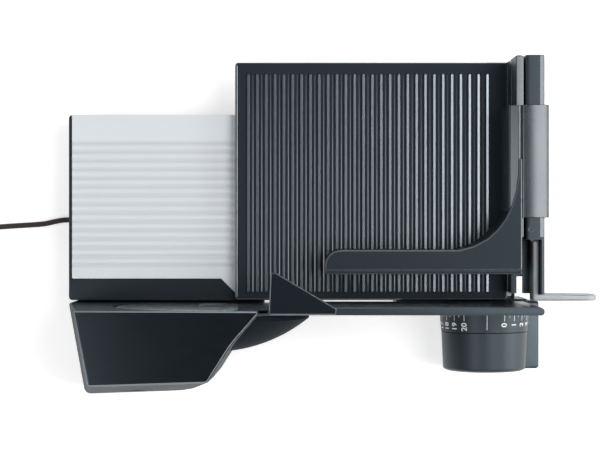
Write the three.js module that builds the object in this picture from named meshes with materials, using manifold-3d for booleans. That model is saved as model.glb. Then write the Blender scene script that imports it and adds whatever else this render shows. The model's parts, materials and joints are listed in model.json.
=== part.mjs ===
// Electric food slicer with a sliding carriage, a round blade and a turning thickness knob.
//
// Millimetres, +Z up from the table. X runs along the carriage's travel and the blade turns about
// the line X = 0. The cutting face is the plane Y = 0: food lies on its +Y side, and slices drop on
// its -Y side, between the motor tower and the thickness knob. The last lines move the whole model
// so that its origin is the middle of the footprint, on the table.
import * as THREE from "three";
import { mergeVertices } from "three/addons/utils/BufferGeometryUtils.js";
import Module from "manifold-3d";

const wasm = await Module();
wasm.setup();

// Clearances
const SEAT = 0.3; // between pieces that are fixed to each other
const RUN = 0.4; // between pieces that move past each other

// Base
const BASE_LEFT = -135;
const BASE_RIGHT = 272;
const BASE_FRONT = 2;
const BASE_BACK = 171;
const FOOT_HEIGHT = 5;
const BASE_RIM_Z = 65.5;
const WALL = 3;
const TRIM_WIDTH = 2.7;
const COVER_TOP_Z = 66;
const COVER_THICKNESS = 3.7;
const COVER_LIP = 0.2;
const COVER_FRONT = 21.8;
const COVER_FRONT_UNDER_CARRIAGE = 6;
const COVER_CORNER_X = 4;
const GROOVE_COUNT = 15;
const RIB_PITCH = 8;
const FIRST_GROOVE_Y = 33.8;
const GROOVE_HALF_WIDTH = 2.6;
const GROOVE_DEPTH = 0.8;
const BOTTOM_PLATE_THICKNESS = 2.5;
const FOOT_R = 11;
const FOOT_STEM_R = 3.5;
const SCREW_R = 1.9;
const SCREW_HEAD_R = 3.8;
const BOSS_R = 5;
const BOTTOM_SCREW_INSET_X = 60;
const BOTTOM_SCREW_INSET_Y = 24;
const FOOT_INSET = 20;

// Guide rail along the back of the base
const RAIL_R = 4;
const RAIL_Y = 164.5;
const RAIL_Z = 44;
const RAIL_WALL_Y = 157;
const RAIL_LUG = 13;
const RAIL_FLANGE_Z = 58;

// Front sill, foot and thickness knob
const SILL_LEFT = 164;
const SILL_RIGHT = 284;
const SILL_FRONT = -2;
const SILL_TOP = 60;
const TOE_LEFT = 212;
const TOE_RIGHT = 300;
const TOE_FRONT = -64;
const TOE_TOP = 24;
const KNOB_X = 243.7;
const KNOB_Z = 68;
const KNOB_RING_R = 40.1;
const KNOB_BACK = -9;
const KNOB_RING_WIDTH = 16.7;
const KNOB_GRIP_LENGTH = 36.3;
const KNOB_GRIP_R = 38.8;
const KNOB_TAPER = 1.4;
const KNOB_WALL = 3;
const HUB_R = 13;
const POST_R = 9;
const POST_LENGTH = 52;
const LUG_HALF_WIDTH = 14;
const LUG_TOP = 80;
const CAM_PIN_R = 1.6;
const CAM_PIN_BEHIND_KNOB = 8;
const CAM_TRAVEL = 21.7;
const CAM_TURN = THREE.MathUtils.degToRad(333);
const CAM_GROOVE_R = 2.6;
const CAM_GROOVE_FLOOR_R = 6.4;

// Stop plate
const PLATE_PROUD = 1.7;
const PLATE_THICKNESS = 6.2;
const PLATE_BOTTOM = 85;
const PLATE_TOP_DROP = 10;
const PLATE_RIGHT = 276;
const PLATE_BEAD_R = 3.4;
const PLATE_SKIN = 2.6;
const PLATE_RIB_COUNT = 9;
const PLATE_ARC_GAP = 4.5;
const GUARD_TIP_Y = 29.5;
const GUARD_LEFT = 50;
const GUARD_RIGHT = 106.7;
const GUARD_THICKNESS = 3.5;
const CARRIER_THICKNESS = 3.5;
const CARRIER_LEFT = 168;
const CARRIER_RIGHT = 282;
const CARRIER_BOTTOM = 28;
const CARRIER_TOP = 118;
const CARRIER_SLANT = 24;
const GUIDE_BAR_R = 4;
const GUIDE_BAR_LENGTH = 66;
const GUIDE_BAR_X = [182, 260];
const GUIDE_BAR_Z = 40;
const GUIDE_BUSH_R = 6.7;
const GUIDE_BUSH_LENGTH = 38;

// Blade and drive
const BLADE_R = 85;
const BLADE_THICKNESS = 2;
const BLADE_BEVEL = 7;
const BLADE_TEETH = 48;
const TOOTH_DEPTH = 1.1;
const BLADE_LOW_Z = 45;
const AXIS_Z = BLADE_LOW_Z + BLADE_R;
const SHAFT_R = 6;
const SHAFT_END_Y = -43.5;
const GEAR_PLATE_BACK = -5.7;
const GEAR_PLATE_THICKNESS = 2.5;
const GEAR_TEETH = 40;
const GEAR_MODULE = 1.25;
const GEAR_WIDTH = 8;
const DRIVE_Y = -29.5;
const WORM_R = 8;
const WORM_LENGTH = 20;
const TOOTH_SLACK = 0.6;
const MOTOR_R = 21;
const MOTOR_LENGTH = 58;
const MOTOR_RIGHT = -42;
const FRAME_BACK = -44;
const FRAME_THICKNESS = 4;
const FRAME_POST_INSET = 8;
const FRAME_POST_Z = 24;
const FRAME_EAR_REACH = 16;

// Motor tower: outline corners at the foot and at the top, seen from above
const TOWER_TOP_MARGIN = 4.5;
const TOWER_TOP = AXIS_Z + BLADE_R + TOWER_TOP_MARGIN;
const TOWER_WAIST_Z = 70;
const TOWER_LEFT = -134.5;
const TOWER_LEFT_TOP = -110;
const TOWER_RIGHT = BLADE_R / 2 + 2;
const TOWER_NOSE_X = -8;
const TOWER_NOSE_X_TOP = 0;
const TOWER_RIGHT_DROP = 2.5;
const TOWER_HOLLOW = 3;
const TOWER_NOSE_Y = -79;
const TOWER_NOSE_Y_TOP = -59.5;
const TOWER_BACK_X = -119.5;
const TOWER_BACK_X_TOP = -99;
const TOWER_BACK_Y = -83;
const TOWER_BACK_Y_TOP = -62.6;
const TOWER_NOSE_R = 45;
const TOWER_NOSE_R_TOP = 4;
const TOWER_FRONT_WALL = 8.2;
const PANEL_THICKNESS = 3.2;
const PANEL_PLUG_DEPTH = 4;
const RECESS_GAP = 2.8;
const TOWER_SCREW_INSET = 25;
const TOWER_SCREW_Z = 28;
const DOME_RIM = 4;
const DOME_DEPTH = 30;
const DOME_WALL = 2.5;
const BUTTON_X = -68;
const BUTTON_Z = 110;
const BUTTON_R = 12;
const BUTTON_TRAVEL = 3;
const BUTTON_FACE_Y = -75.6;
const BUTTON_THICKNESS = 10;
const SWITCH_WIDTH = 26;
const SWITCH_DEPTH = 14;
const SPRING_LENGTH = 11;
const SPRING_R = 5;
const SPRING_WIRE_R = 0.5;
const SPRING_CURLS = 5;

// Carriage
const CARRIAGE_LEFT = 17.2;
const CARRIAGE_RIGHT = 263.2;
const CARRIAGE_FRONT = 3.2;
const CARRIAGE_BACK = 217.5;
const CARRIAGE_TOP = 80;
const CARRIAGE_THICKNESS = 4;
const SKIRT_DEPTH = 6;
const CARRIAGE_RIB_COUNT = 28;
const FIRST_RIB_X = 29.4;
const RIB_WIDTH = 3.6;
const RIB_HEIGHT = 1.6;
const RIB_FRONT_MARGIN = 6.3;
const RIB_BACK_MARGIN = 10;
const RIM_WIDTH = 2.2;
const RIM_HEIGHT = 1.4;
const RUNNER_LEFT = 85;
const RUNNER_RIGHT = 243.5;
const RUNNER_SHOE = 30;
const RUNNER_WALL = 5;
const RUNNER_FLANGE = 20;
const GLIDE_LEFT = 30;
const GLIDE_WIDTH = 10;

// Carriage wall with the pusher's rail on top
const WALL_FRONT = 10;
const WALL_FLANGE = 18;
const WALL_LINE_Z = 106;
const WALL_LINE_DEPTH = 0.8;
const RIDGE_TOP = 141;
const RIDGE_WIDTH = 5.4;
const WALL_GROOVE = 2.6;
const PUSHER_RAIL_WIDTH = 16.5;
const PUSHER_RAIL_TOP = 146;
const PUSHER_RAIL_END_Y = 58;
const PUSHER_RAIL_LOW_Z = 110;
const CRUMB_SLOT_END = 25;
const DIMPLE_R = 2;
const DIMPLE_INSET = 8.7;
const DIMPLE_DEPTH = 0.8;
const THUMB_THICKNESS = 5.5;
const THUMB_TOP = 132;
const THUMB_BOTTOM = 84;
const THUMB_RIGHT = 337;

// Pusher
const PUSHER_LEFT = 97.6;
const PUSHER_FRONT = 28;
const PUSHER_DEPTH = 21;
const PUSHER_TOP = 150;
const PUSHER_BOTTOM = 84;
const PUSHER_WALL = 3;
const PUSHER_TIP_Y = 128;
const PUSHER_CURVE_LENGTH = 54;
const PUSHER_CURVE_RISE = 40;
const PUSHER_LIP_DEPTH = 3.6;
const PUSHER_LIP_DROP = 1.6;
const SADDLE_FRONT = 77;
const SADDLE_BACK = 174.5;
const SADDLE_SKIRT_Z = 104;
const SPIKE_LENGTH = 2;
const SPIKE_MARGIN = 10;
const SADDLE_WEB_WIDTH = 20;
const SPIKE_PLATE_THICKNESS = 1.5;
const SPIKE_COLUMNS = 12;

// Mains lead
const CORD_R = 2.5;
const CORD_EXIT_Y = 75.5;
const CORD_EXIT_Z = 16;
const RELIEF_LENGTH = 24;
const RELIEF_ROOT_R = 5.4;
const RELIEF_TIP_R = 3.4;
const POCKET_DEPTH = 19;
const POCKET_HALF_WIDTH = 9.5;
const POCKET_TOP = 32;
const COIL_X = -262;
const COIL_Y = 28.5;
const COIL_OUTER_R = 38.5;
const COIL_TURNS = 6.25;
const COIL_PITCH = 5.6;
const TIE_THICKNESS = 0.8;
const TIE_WIDTH = 8;
const PLUG_LENGTH = 36;
const PLUG_WIDTH = 35;
const PLUG_HEIGHT = 13.7;
const PLUG_PIN_R = 2;
const PLUG_PIN_LENGTH = 19;
const PLUG_PIN_SPACING = 18.6;

// Values worked out from the ones above
const COVER_SEAT_Z = COVER_TOP_Z - COVER_THICKNESS - SEAT;
const COVER_LEFT = BASE_LEFT + TRIM_WIDTH + SEAT;
const COVER_RIGHT = BASE_RIGHT - TRIM_WIDTH - SEAT;
const BOTTOM_PLATE_Z = FOOT_HEIGHT + SEAT;
const BOSS_BORE_DEPTH = 16;
const BOSS_BOTTOM = BOTTOM_PLATE_Z + BOTTOM_PLATE_THICKNESS + SEAT;
const CARRIAGE_UNDER = CARRIAGE_TOP - CARRIAGE_THICKNESS;
const PLATE_BACK = PLATE_PROUD - PLATE_THICKNESS;
const CARRIER_FACE = PLATE_BACK - SEAT;
const CARRIER_BACK = CARRIER_FACE - CARRIER_THICKNESS;
const KNOB_GRIP_BACK = KNOB_BACK - KNOB_RING_WIDTH - SEAT;
const KNOB_END = KNOB_GRIP_BACK - KNOB_GRIP_LENGTH;
const GEAR_R = (GEAR_TEETH * GEAR_MODULE) / 2;
const WORM_LEAD = Math.PI * GEAR_MODULE;
const WORM_Z = AXIS_Z + GEAR_R + WORM_R;
const PLATE_TOP = AXIS_Z + BLADE_R - PLATE_TOP_DROP;
const DOME_R = BLADE_R - 1;
const DOME_FRONT = GEAR_PLATE_BACK - SEAT;
const WALL_LEFT = CARRIAGE_RIGHT + RUN;
const RIDGE_RIGHT = WALL_LEFT + RIDGE_WIDTH;
const PUSHER_RAIL_LEFT = RIDGE_RIGHT + WALL_GROOVE;
const PUSHER_RAIL_RIGHT = PUSHER_RAIL_LEFT + PUSHER_RAIL_WIDTH;
const SADDLE_LEFT = WALL_LEFT - RUN - PUSHER_WALL - 1;
const SADDLE_STEP = PUSHER_RAIL_LEFT - RUN - PUSHER_WALL;
const SADDLE_SHOULDER_Z = RIDGE_TOP + RUN + PUSHER_WALL;
const COIL_FLOOR_Z = TIE_THICKNESS + SEAT + CORD_R;
const RUNNER_FACE_Y = BASE_BACK + COVER_LIP + 1;

const BOTTOM_SCREWS = [
  [BASE_LEFT + BOTTOM_SCREW_INSET_X, BASE_FRONT + BOTTOM_SCREW_INSET_Y],
  [BASE_LEFT + BOTTOM_SCREW_INSET_X, RAIL_WALL_Y - BOTTOM_SCREW_INSET_Y],
  [BASE_RIGHT - BOTTOM_SCREW_INSET_X, BASE_FRONT + BOTTOM_SCREW_INSET_Y],
  [BASE_RIGHT - BOTTOM_SCREW_INSET_X, RAIL_WALL_Y - BOTTOM_SCREW_INSET_Y],
];
const BASE_FEET = [
  [BASE_LEFT + FOOT_INSET, RAIL_WALL_Y - FOOT_INSET],
  [BASE_RIGHT - FOOT_INSET, RAIL_WALL_Y - FOOT_INSET],
];
const TOE_FOOT = [TOE_RIGHT - FOOT_INSET, TOE_FRONT + FOOT_INSET];
const TOWER_FOOT = [TOWER_BACK_X + FOOT_INSET, TOWER_BACK_Y + FOOT_INSET];
const TOWER_SCREWS = [
  [BASE_LEFT + TOWER_SCREW_INSET, TOWER_SCREW_Z],
  [TOWER_RIGHT - TOWER_SCREW_INSET, TOWER_SCREW_Z],
];

const point = (x, y, z) => new THREE.Vector3(x, y, z);

// A closed solid from loose points and triangles, turned right side out
function solidFrom(positions, triangles) {
  const at = (i) => point(positions[3 * i], positions[3 * i + 1], positions[3 * i + 2]);
  let volume = 0;
  for (let i = 0; i < triangles.length; i += 3) {
    const cross = at(triangles[i + 1]).cross(at(triangles[i + 2]));
    volume += at(triangles[i]).dot(cross);
  }
  const indices = Uint32Array.from(triangles);
  if (volume < 0) {
    for (let i = 0; i < indices.length; i += 3) {
      [indices[i], indices[i + 1]] = [indices[i + 1], indices[i]];
    }
  }
  const vertProperties = Float32Array.from(positions);
  return new wasm.Manifold(new wasm.Mesh({ numProp: 3, vertProperties, triVerts: indices }));
}

function toSolid(geometry) {
  const bare = geometry.clone();
  bare.deleteAttribute("normal");
  bare.deleteAttribute("uv");
  const merged = mergeVertices(bare, 1e-4);
  const index = merged.index.array;
  const triangles = [];
  for (let i = 0; i < index.length; i += 3) {
    const [a, b, c] = [index[i], index[i + 1], index[i + 2]];
    if (a !== b && b !== c && a !== c) {
      triangles.push(a, b, c);
    }
  }
  return solidFrom(merged.attributes.position.array, triangles);
}

function toGeometry(solid) {
  const mesh = solid.getMesh();
  const geometry = new THREE.BufferGeometry();
  geometry.setAttribute("position", new THREE.BufferAttribute(mesh.vertProperties, 3));
  geometry.setIndex(new THREE.BufferAttribute(mesh.triVerts, 1));
  geometry.computeVertexNormals();
  return geometry;
}

const join = (...solids) => solids.reduce((whole, piece) => whole.add(piece));
const cut = (solid, ...tools) => tools.reduce((whole, tool) => whole.subtract(tool), solid);

function box([x0, x1], [y0, y1], [z0, z1]) {
  const geometry = new THREE.BoxGeometry(x1 - x0, y1 - y0, z1 - z0);
  geometry.translate((x0 + x1) / 2, (y0 + y1) / 2, (z0 + z1) / 2);
  return toSolid(geometry);
}

// An outline with round corners; radii is one number, or one for each corner
function roundedShape(corners, radii) {
  const shape = new THREE.Shape();
  const area = THREE.ShapeUtils.area(corners.map(([x, y]) => new THREE.Vector2(x, y)));
  corners.forEach((corner, i) => {
    const radius = Array.isArray(radii) ? radii[i] : radii;
    const here = new THREE.Vector2(...corner);
    const before = new THREE.Vector2(...corners.at(i - 1)).sub(here).normalize();
    const after = new THREE.Vector2(...corners[(i + 1) % corners.length]).sub(here).normalize();
    const half = Math.acos(THREE.MathUtils.clamp(before.dot(after), -1, 1)) / 2;
    const convex = after.cross(before) * area > 0;
    const centre = before.clone().add(after).normalize().multiplyScalar(radius / Math.sin(half)).add(here);
    const start = before.multiplyScalar(radius / Math.tan(half)).add(here).sub(centre).angle();
    const end = after.multiplyScalar(radius / Math.tan(half)).add(here).sub(centre).angle();
    const clockwise = convex ? area < 0 : area > 0;
    shape.absarc(centre.x, centre.y, radius, start, end, clockwise);
  });
  shape.closePath();
  return shape;
}

const rectangle = ([x0, x1], [y0, y1], radius) =>
  roundedShape([[x0, y0], [x1, y0], [x1, y1], [x0, y1]], radius);

// A shape pushed along an axis. Its own axes are X, Y for "z"; X, Z for "y"; and Y, Z for "x".
function prism(shape, axis, from, to, bevel = 0, curveSegments = 2) {
  const geometry = new THREE.ExtrudeGeometry(shape, {
    depth: to - from - 2 * bevel,
    bevelEnabled: bevel > 0,
    bevelSize: bevel,
    bevelOffset: -bevel,
    bevelThickness: bevel,
    bevelSegments: bevel > 1 ? 2 : 1,
    curveSegments,
  });
  geometry.translate(0, 0, bevel);
  if (axis === "y") {
    geometry.rotateX(Math.PI / 2);
    geometry.translate(0, to, 0);
  } else if (axis === "x") {
    geometry.rotateZ(Math.PI / 2);
    geometry.rotateY(Math.PI / 2);
    geometry.translate(from, 0, 0);
  } else {
    geometry.translate(0, 0, from);
  }
  return toSolid(geometry);
}

// A profile of [radius, height] points turned about an axis through centre
function revolve(profile, axis, centre, segments = 32) {
  const points = profile.map(([radius, height]) => new THREE.Vector2(radius, height));
  if (profile[0][0] > 0) {
    points.push(points[0].clone());
  }
  const geometry = new THREE.LatheGeometry(points, segments);
  if (axis === "z") {
    geometry.rotateX(Math.PI / 2);
  } else if (axis === "x") {
    geometry.rotateZ(-Math.PI / 2);
  }
  geometry.translate(...centre);
  return toSolid(geometry);
}

const rod = (axis, centre, radius, from, to, segments = 16) =>
  revolve([[0, from], [radius, from], [radius, to], [0, to]], axis, centre, segments);

const pipe = (axis, centre, inner, outer, from, to, segments = 20) =>
  revolve([[inner, from], [outer, from], [outer, to], [inner, to]], axis, centre, segments);

// A skin over rings that have the same number of points; the last ring meets the first if closed
function skin(rings, closed) {
  const count = rings[0].length;
  const positions = rings.flat().flatMap((p) => [p.x, p.y, p.z]);
  const triangles = [];
  const bands = closed ? rings.length : rings.length - 1;
  for (let i = 0; i < bands; i += 1) {
    const next = (i + 1) % rings.length;
    for (let j = 0; j < count; j += 1) {
      const k = (j + 1) % count;
      const [a, b, c, d] = [i * count + j, i * count + k, next * count + k, next * count + j];
      triangles.push(a, b, c, a, c, d);
    }
  }
  if (!closed) {
    const last = (rings.length - 1) * count;
    for (let j = 1; j < count - 1; j += 1) {
      triangles.push(0, j + 1, j, last, last + j, last + j + 1);
    }
  }
  return solidFrom(positions, triangles);
}

// A round tube along points, for springs and coils
function windTube(path, radius, sides) {
  let normal = null;
  const rings = path.map((here, i) => {
    const ahead = path[Math.min(i + 1, path.length - 1)];
    const tangent = ahead.clone().sub(path[Math.max(i - 1, 0)]).normalize();
    const seed = normal ?? point(0, 0, 1).cross(tangent).normalize();
    normal = seed.sub(tangent.clone().multiplyScalar(seed.dot(tangent))).normalize();
    const side = tangent.clone().cross(normal);
    return Array.from({ length: sides }, (_, j) => {
      const turn = (2 * Math.PI * j) / sides;
      const out = normal.clone().multiplyScalar(Math.cos(turn) * radius);
      return out.addScaledVector(side, Math.sin(turn) * radius).add(here);
    });
  });
  return skin(rings, false);
}

// A round cord along hand-chosen points
function cordTube(path) {
  const section = new THREE.Shape();
  section.absarc(0, 0, CORD_R, 0, 2 * Math.PI);
  const curve = new THREE.CatmullRomCurve3(path.map((p) => point(...p)), false, "centripetal");
  const steps = Math.ceil(curve.getLength() / (5 * CORD_R));
  return toSolid(new THREE.ExtrudeGeometry(section, { steps, curveSegments: 5, extrudePath: curve }));
}

// A machine screw: its head lies towards the tail of the axis
function screw(axis, centre, headFrom, headTo, tip) {
  const slot = Math.abs(headTo - headFrom) * 0.4;
  const lead = Math.sign(headTo - headFrom);
  const profile = [
    [0, headFrom],
    [SCREW_HEAD_R - slot, headFrom],
    [SCREW_HEAD_R, headFrom + lead * slot],
    [SCREW_HEAD_R, headTo],
    [SCREW_R, headTo],
    [SCREW_R, tip - lead * SCREW_R],
    [0, tip],
  ];
  return revolve(profile, axis, centre, 8);
}

// Base

function baseOutline() {
  return rectangle([BASE_LEFT, BASE_RIGHT], [BASE_FRONT, BASE_BACK], 3);
}

function cordPocket(grow) {
  const y = [CORD_EXIT_Y - POCKET_HALF_WIDTH - grow, CORD_EXIT_Y + POCKET_HALF_WIDTH + grow];
  return box([BASE_LEFT - 1, BASE_LEFT + POCKET_DEPTH + grow], y, [FOOT_HEIGHT - 1, POCKET_TOP + grow]);
}

function coverOutline(grow) {
  const slope = COVER_FRONT - COVER_FRONT_UNDER_CARRIAGE;
  const back = BASE_BACK + COVER_LIP + (grow > 0 ? WALL : 0);
  return roundedShape(
    [
      [COVER_LEFT - grow, COVER_FRONT - grow],
      [COVER_CORNER_X - grow, COVER_FRONT - grow],
      [COVER_CORNER_X + slope - grow, COVER_FRONT_UNDER_CARRIAGE - grow],
      [COVER_RIGHT + grow, COVER_FRONT_UNDER_CARRIAGE - grow],
      [COVER_RIGHT + grow, back],
      [COVER_LEFT - grow, back],
    ],
    1,
  );
}

function toe() {
  const outline = rectangle([TOE_LEFT, TOE_RIGHT], [TOE_FRONT, SILL_FRONT + 2], 3);
  return prism(outline, "z", FOOT_HEIGHT, TOE_TOP, 2);
}

function postLug() {
  const crown = LUG_TOP - KNOB_Z;
  const outline = roundedShape(
    [
      [KNOB_X - LUG_HALF_WIDTH, SILL_TOP - 2],
      [KNOB_X + LUG_HALF_WIDTH, SILL_TOP - 2],
      [KNOB_X + LUG_HALF_WIDTH, LUG_TOP],
      [KNOB_X - LUG_HALF_WIDTH, LUG_TOP],
    ],
    [0.5, 0.5, crown * 0.8, crown * 0.8],
  );
  return prism(outline, "y", SILL_FRONT, BASE_FRONT - 0.6);
}

function baseShell() {
  const cavity = box(
    [BASE_LEFT + WALL, BASE_RIGHT - WALL],
    [BASE_FRONT + WALL, RAIL_WALL_Y - WALL],
    [FOOT_HEIGHT - 1, COVER_SEAT_Z - WALL],
  );
  const railBay = box(
    [BASE_LEFT + RAIL_LUG, BASE_RIGHT - RAIL_LUG],
    [RAIL_WALL_Y, BASE_BACK + 1],
    [FOOT_HEIGHT - 1, RAIL_FLANGE_Z],
  );
  const coverSeat = prism(coverOutline(SEAT), "z", COVER_SEAT_Z, COVER_TOP_Z + 1);
  const sill = box([SILL_LEFT, SILL_RIGHT], [SILL_FRONT, BASE_FRONT + 1], [FOOT_HEIGHT, SILL_TOP]);
  const sillBack = box(
    [SILL_LEFT, BASE_RIGHT],
    [BASE_FRONT, BASE_FRONT + WALL + 3],
    [FOOT_HEIGHT, SILL_TOP],
  );
  const bosses = BOTTOM_SCREWS.map(([x, y]) =>
    rod("z", [x, y, 0], BOSS_R, BOSS_BOTTOM, COVER_SEAT_Z - 1, 16));
  const bossBores = BOTTOM_SCREWS.map(([x, y]) =>
    rod("z", [x, y, 0], SCREW_R + SEAT, BOSS_BOTTOM - 1, BOSS_BOTTOM + BOSS_BORE_DEPTH, 12));
  const barBores = GUIDE_BAR_X.map((x) =>
    rod("y", [x, 0, GUIDE_BAR_Z], GUIDE_BUSH_R + SEAT, SILL_FRONT - 1, BASE_FRONT + WALL + 4));
  const towerBores = TOWER_SCREWS.map(([x, z]) =>
    rod("y", [x, 0, z], SCREW_R + SEAT, BASE_FRONT - 1, BASE_FRONT + WALL + 1, 12));
  const railBore = rod("x", [0, RAIL_Y, RAIL_Z], RAIL_R + SEAT, BASE_LEFT + RAIL_LUG / 2, BASE_RIGHT + 1);
  const reliefEnd = BASE_LEFT + 2 * POCKET_DEPTH;
  const reliefBore = rod("x", [0, CORD_EXIT_Y, CORD_EXIT_Z], RELIEF_ROOT_R - 1, BASE_LEFT, reliefEnd);
  const postBore = rod("y", [KNOB_X, 0, KNOB_Z], POST_R * 0.6 + SEAT, SILL_FRONT - 1, BASE_FRONT + 1);
  const stemBore = rod("z", [...TOE_FOOT, 0], FOOT_STEM_R + SEAT, FOOT_HEIGHT - 1, FOOT_HEIGHT + 6);
  const shell = cut(prism(baseOutline(), "z", FOOT_HEIGHT, BASE_RIM_Z), cavity, railBay, coverSeat);
  const pocketWall = cordPocket(WALL).intersect(prism(baseOutline(), "z", FOOT_HEIGHT, BASE_RIM_Z));
  const whole = join(shell, sill, sillBack, toe(), postLug(), pocketWall, ...bosses);
  const holes = [...bossBores, ...barBores, ...towerBores, railBore, reliefBore, postBore, stemBore];
  return cut(whole, cordPocket(0), ...holes);
}

function baseCoverPlate() {
  const profile = new THREE.Shape();
  const bottom = COVER_TOP_Z - COVER_THICKNESS;
  profile.moveTo(COVER_FRONT_UNDER_CARRIAGE, bottom);
  profile.lineTo(COVER_FRONT_UNDER_CARRIAGE, COVER_TOP_Z);
  for (let i = 0; i < GROOVE_COUNT; i += 1) {
    const y = FIRST_GROOVE_Y + i * RIB_PITCH;
    profile.lineTo(y - GROOVE_HALF_WIDTH, COVER_TOP_Z);
    profile.quadraticCurveTo(y, COVER_TOP_Z - 2 * GROOVE_DEPTH, y + GROOVE_HALF_WIDTH, COVER_TOP_Z);
  }
  profile.lineTo(BASE_BACK + COVER_LIP, COVER_TOP_Z);
  profile.lineTo(BASE_BACK + COVER_LIP, bottom);
  profile.closePath();
  const sheet = prism(profile, "x", COVER_LEFT, COVER_RIGHT, 0, 3);
  return sheet.intersect(prism(coverOutline(0), "z", bottom - 1, COVER_TOP_Z + 1));
}

function bottomPlate() {
  const inset = WALL + SEAT;
  const outline = rectangle(
    [BASE_LEFT + inset, BASE_RIGHT - inset],
    [BASE_FRONT + inset, RAIL_WALL_Y - inset],
    1,
  );
  const plate = prism(outline, "z", BOTTOM_PLATE_Z, BOTTOM_PLATE_Z + BOTTOM_PLATE_THICKNESS);
  const sill = box([SILL_LEFT - 1, BASE_RIGHT], [0, BASE_FRONT + WALL + 3 + SEAT], [0, BOSS_BOTTOM]);
  const screwHoles = BOTTOM_SCREWS.map(([x, y]) => rod("z", [x, y, 0], SCREW_R + SEAT, 0, BOSS_BOTTOM, 12));
  const stemHoles = BASE_FEET.map(([x, y]) => rod("z", [x, y, 0], FOOT_STEM_R + SEAT, 0, BOSS_BOTTOM, 16));
  return cut(plate, cordPocket(WALL + SEAT), sill, ...screwHoles, ...stemHoles);
}

function rubberFoot([x, y]) {
  const profile = [
    [0, 0],
    [FOOT_R - 1.5, 0],
    [FOOT_R, 1.5],
    [FOOT_R - 0.6, FOOT_HEIGHT - SEAT],
    [FOOT_STEM_R, FOOT_HEIGHT - SEAT],
    [FOOT_STEM_R, FOOT_HEIGHT + 4],
    [0, FOOT_HEIGHT + 4],
  ];
  return revolve(profile, "z", [x, y, 0], 18);
}

function guideRail() {
  const left = BASE_LEFT + RAIL_LUG / 2 + SEAT;
  return rod("x", [0, RAIL_Y, RAIL_Z], RAIL_R, left, BASE_RIGHT - SEAT);
}

// Motor tower

// The tower's outline at one height: its right wall is a little hollow
function towerRing(z, grow, front) {
  const rise = THREE.MathUtils.clamp((z - TOWER_WAIST_Z) / (TOWER_TOP - TOWER_WAIST_Z), 0, 1);
  const mix = (low, high) => THREE.MathUtils.lerp(low, high, rise);
  const right = mix(TOWER_RIGHT - TOWER_RIGHT_DROP, TOWER_RIGHT) + grow * 1.5 + (grow < 0 ? front * 0.6 : 0);
  const noseX = mix(TOWER_NOSE_X, TOWER_NOSE_X_TOP) + grow * 0.6;
  const nose = [noseX, mix(TOWER_NOSE_Y, TOWER_NOSE_Y_TOP) - grow];
  const run = new THREE.Vector2(right - nose[0], front - nose[1]);
  const inward = new THREE.Vector2(-run.y, run.x).setLength(mix(0.1, TOWER_HOLLOW));
  const corners = [
    [mix(TOWER_LEFT, TOWER_LEFT_TOP) - grow, front],
    [mix(TOWER_BACK_X, TOWER_BACK_X_TOP) - grow, mix(TOWER_BACK_Y, TOWER_BACK_Y_TOP) - grow],
    nose,
    [nose[0] + run.x * 0.5 + inward.x, nose[1] + run.y * 0.5 + inward.y],
    [right, front],
  ];
  const radii = [2, mix(6, 3), mix(TOWER_NOSE_R, TOWER_NOSE_R_TOP), 2 * TOWER_NOSE_R, 2];
  const outline = roundedShape(corners, radii).getPoints(2);
  return outline.slice(0, -1).map((p) => point(p.x, p.y, z));
}

function towerBlock(bottom, top, grow, front) {
  return skin([bottom, TOWER_WAIST_Z, top].map((z) => towerRing(z, grow, front)), false);
}

function panelOutline(grow, front) {
  const ring = towerRing(TOWER_TOP, grow, front);
  return new THREE.Shape(ring.map((p) => new THREE.Vector2(p.x, p.y)));
}

function domeProfile(inset, front) {
  const rim = DOME_FRONT - DOME_RIM;
  const edge = DOME_R - inset;
  const sag = DOME_DEPTH - inset;
  const ball = (edge * edge + sag * sag) / (2 * sag);
  const profile = [[0, front], [edge, front]];
  const steps = 7;
  for (let i = 0; i <= steps; i += 1) {
    const turn = Math.asin(edge / ball) * (1 - i / steps);
    profile.push([ball * Math.sin(turn), rim - ball * Math.cos(turn) + ball - sag]);
  }
  return profile;
}

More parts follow.
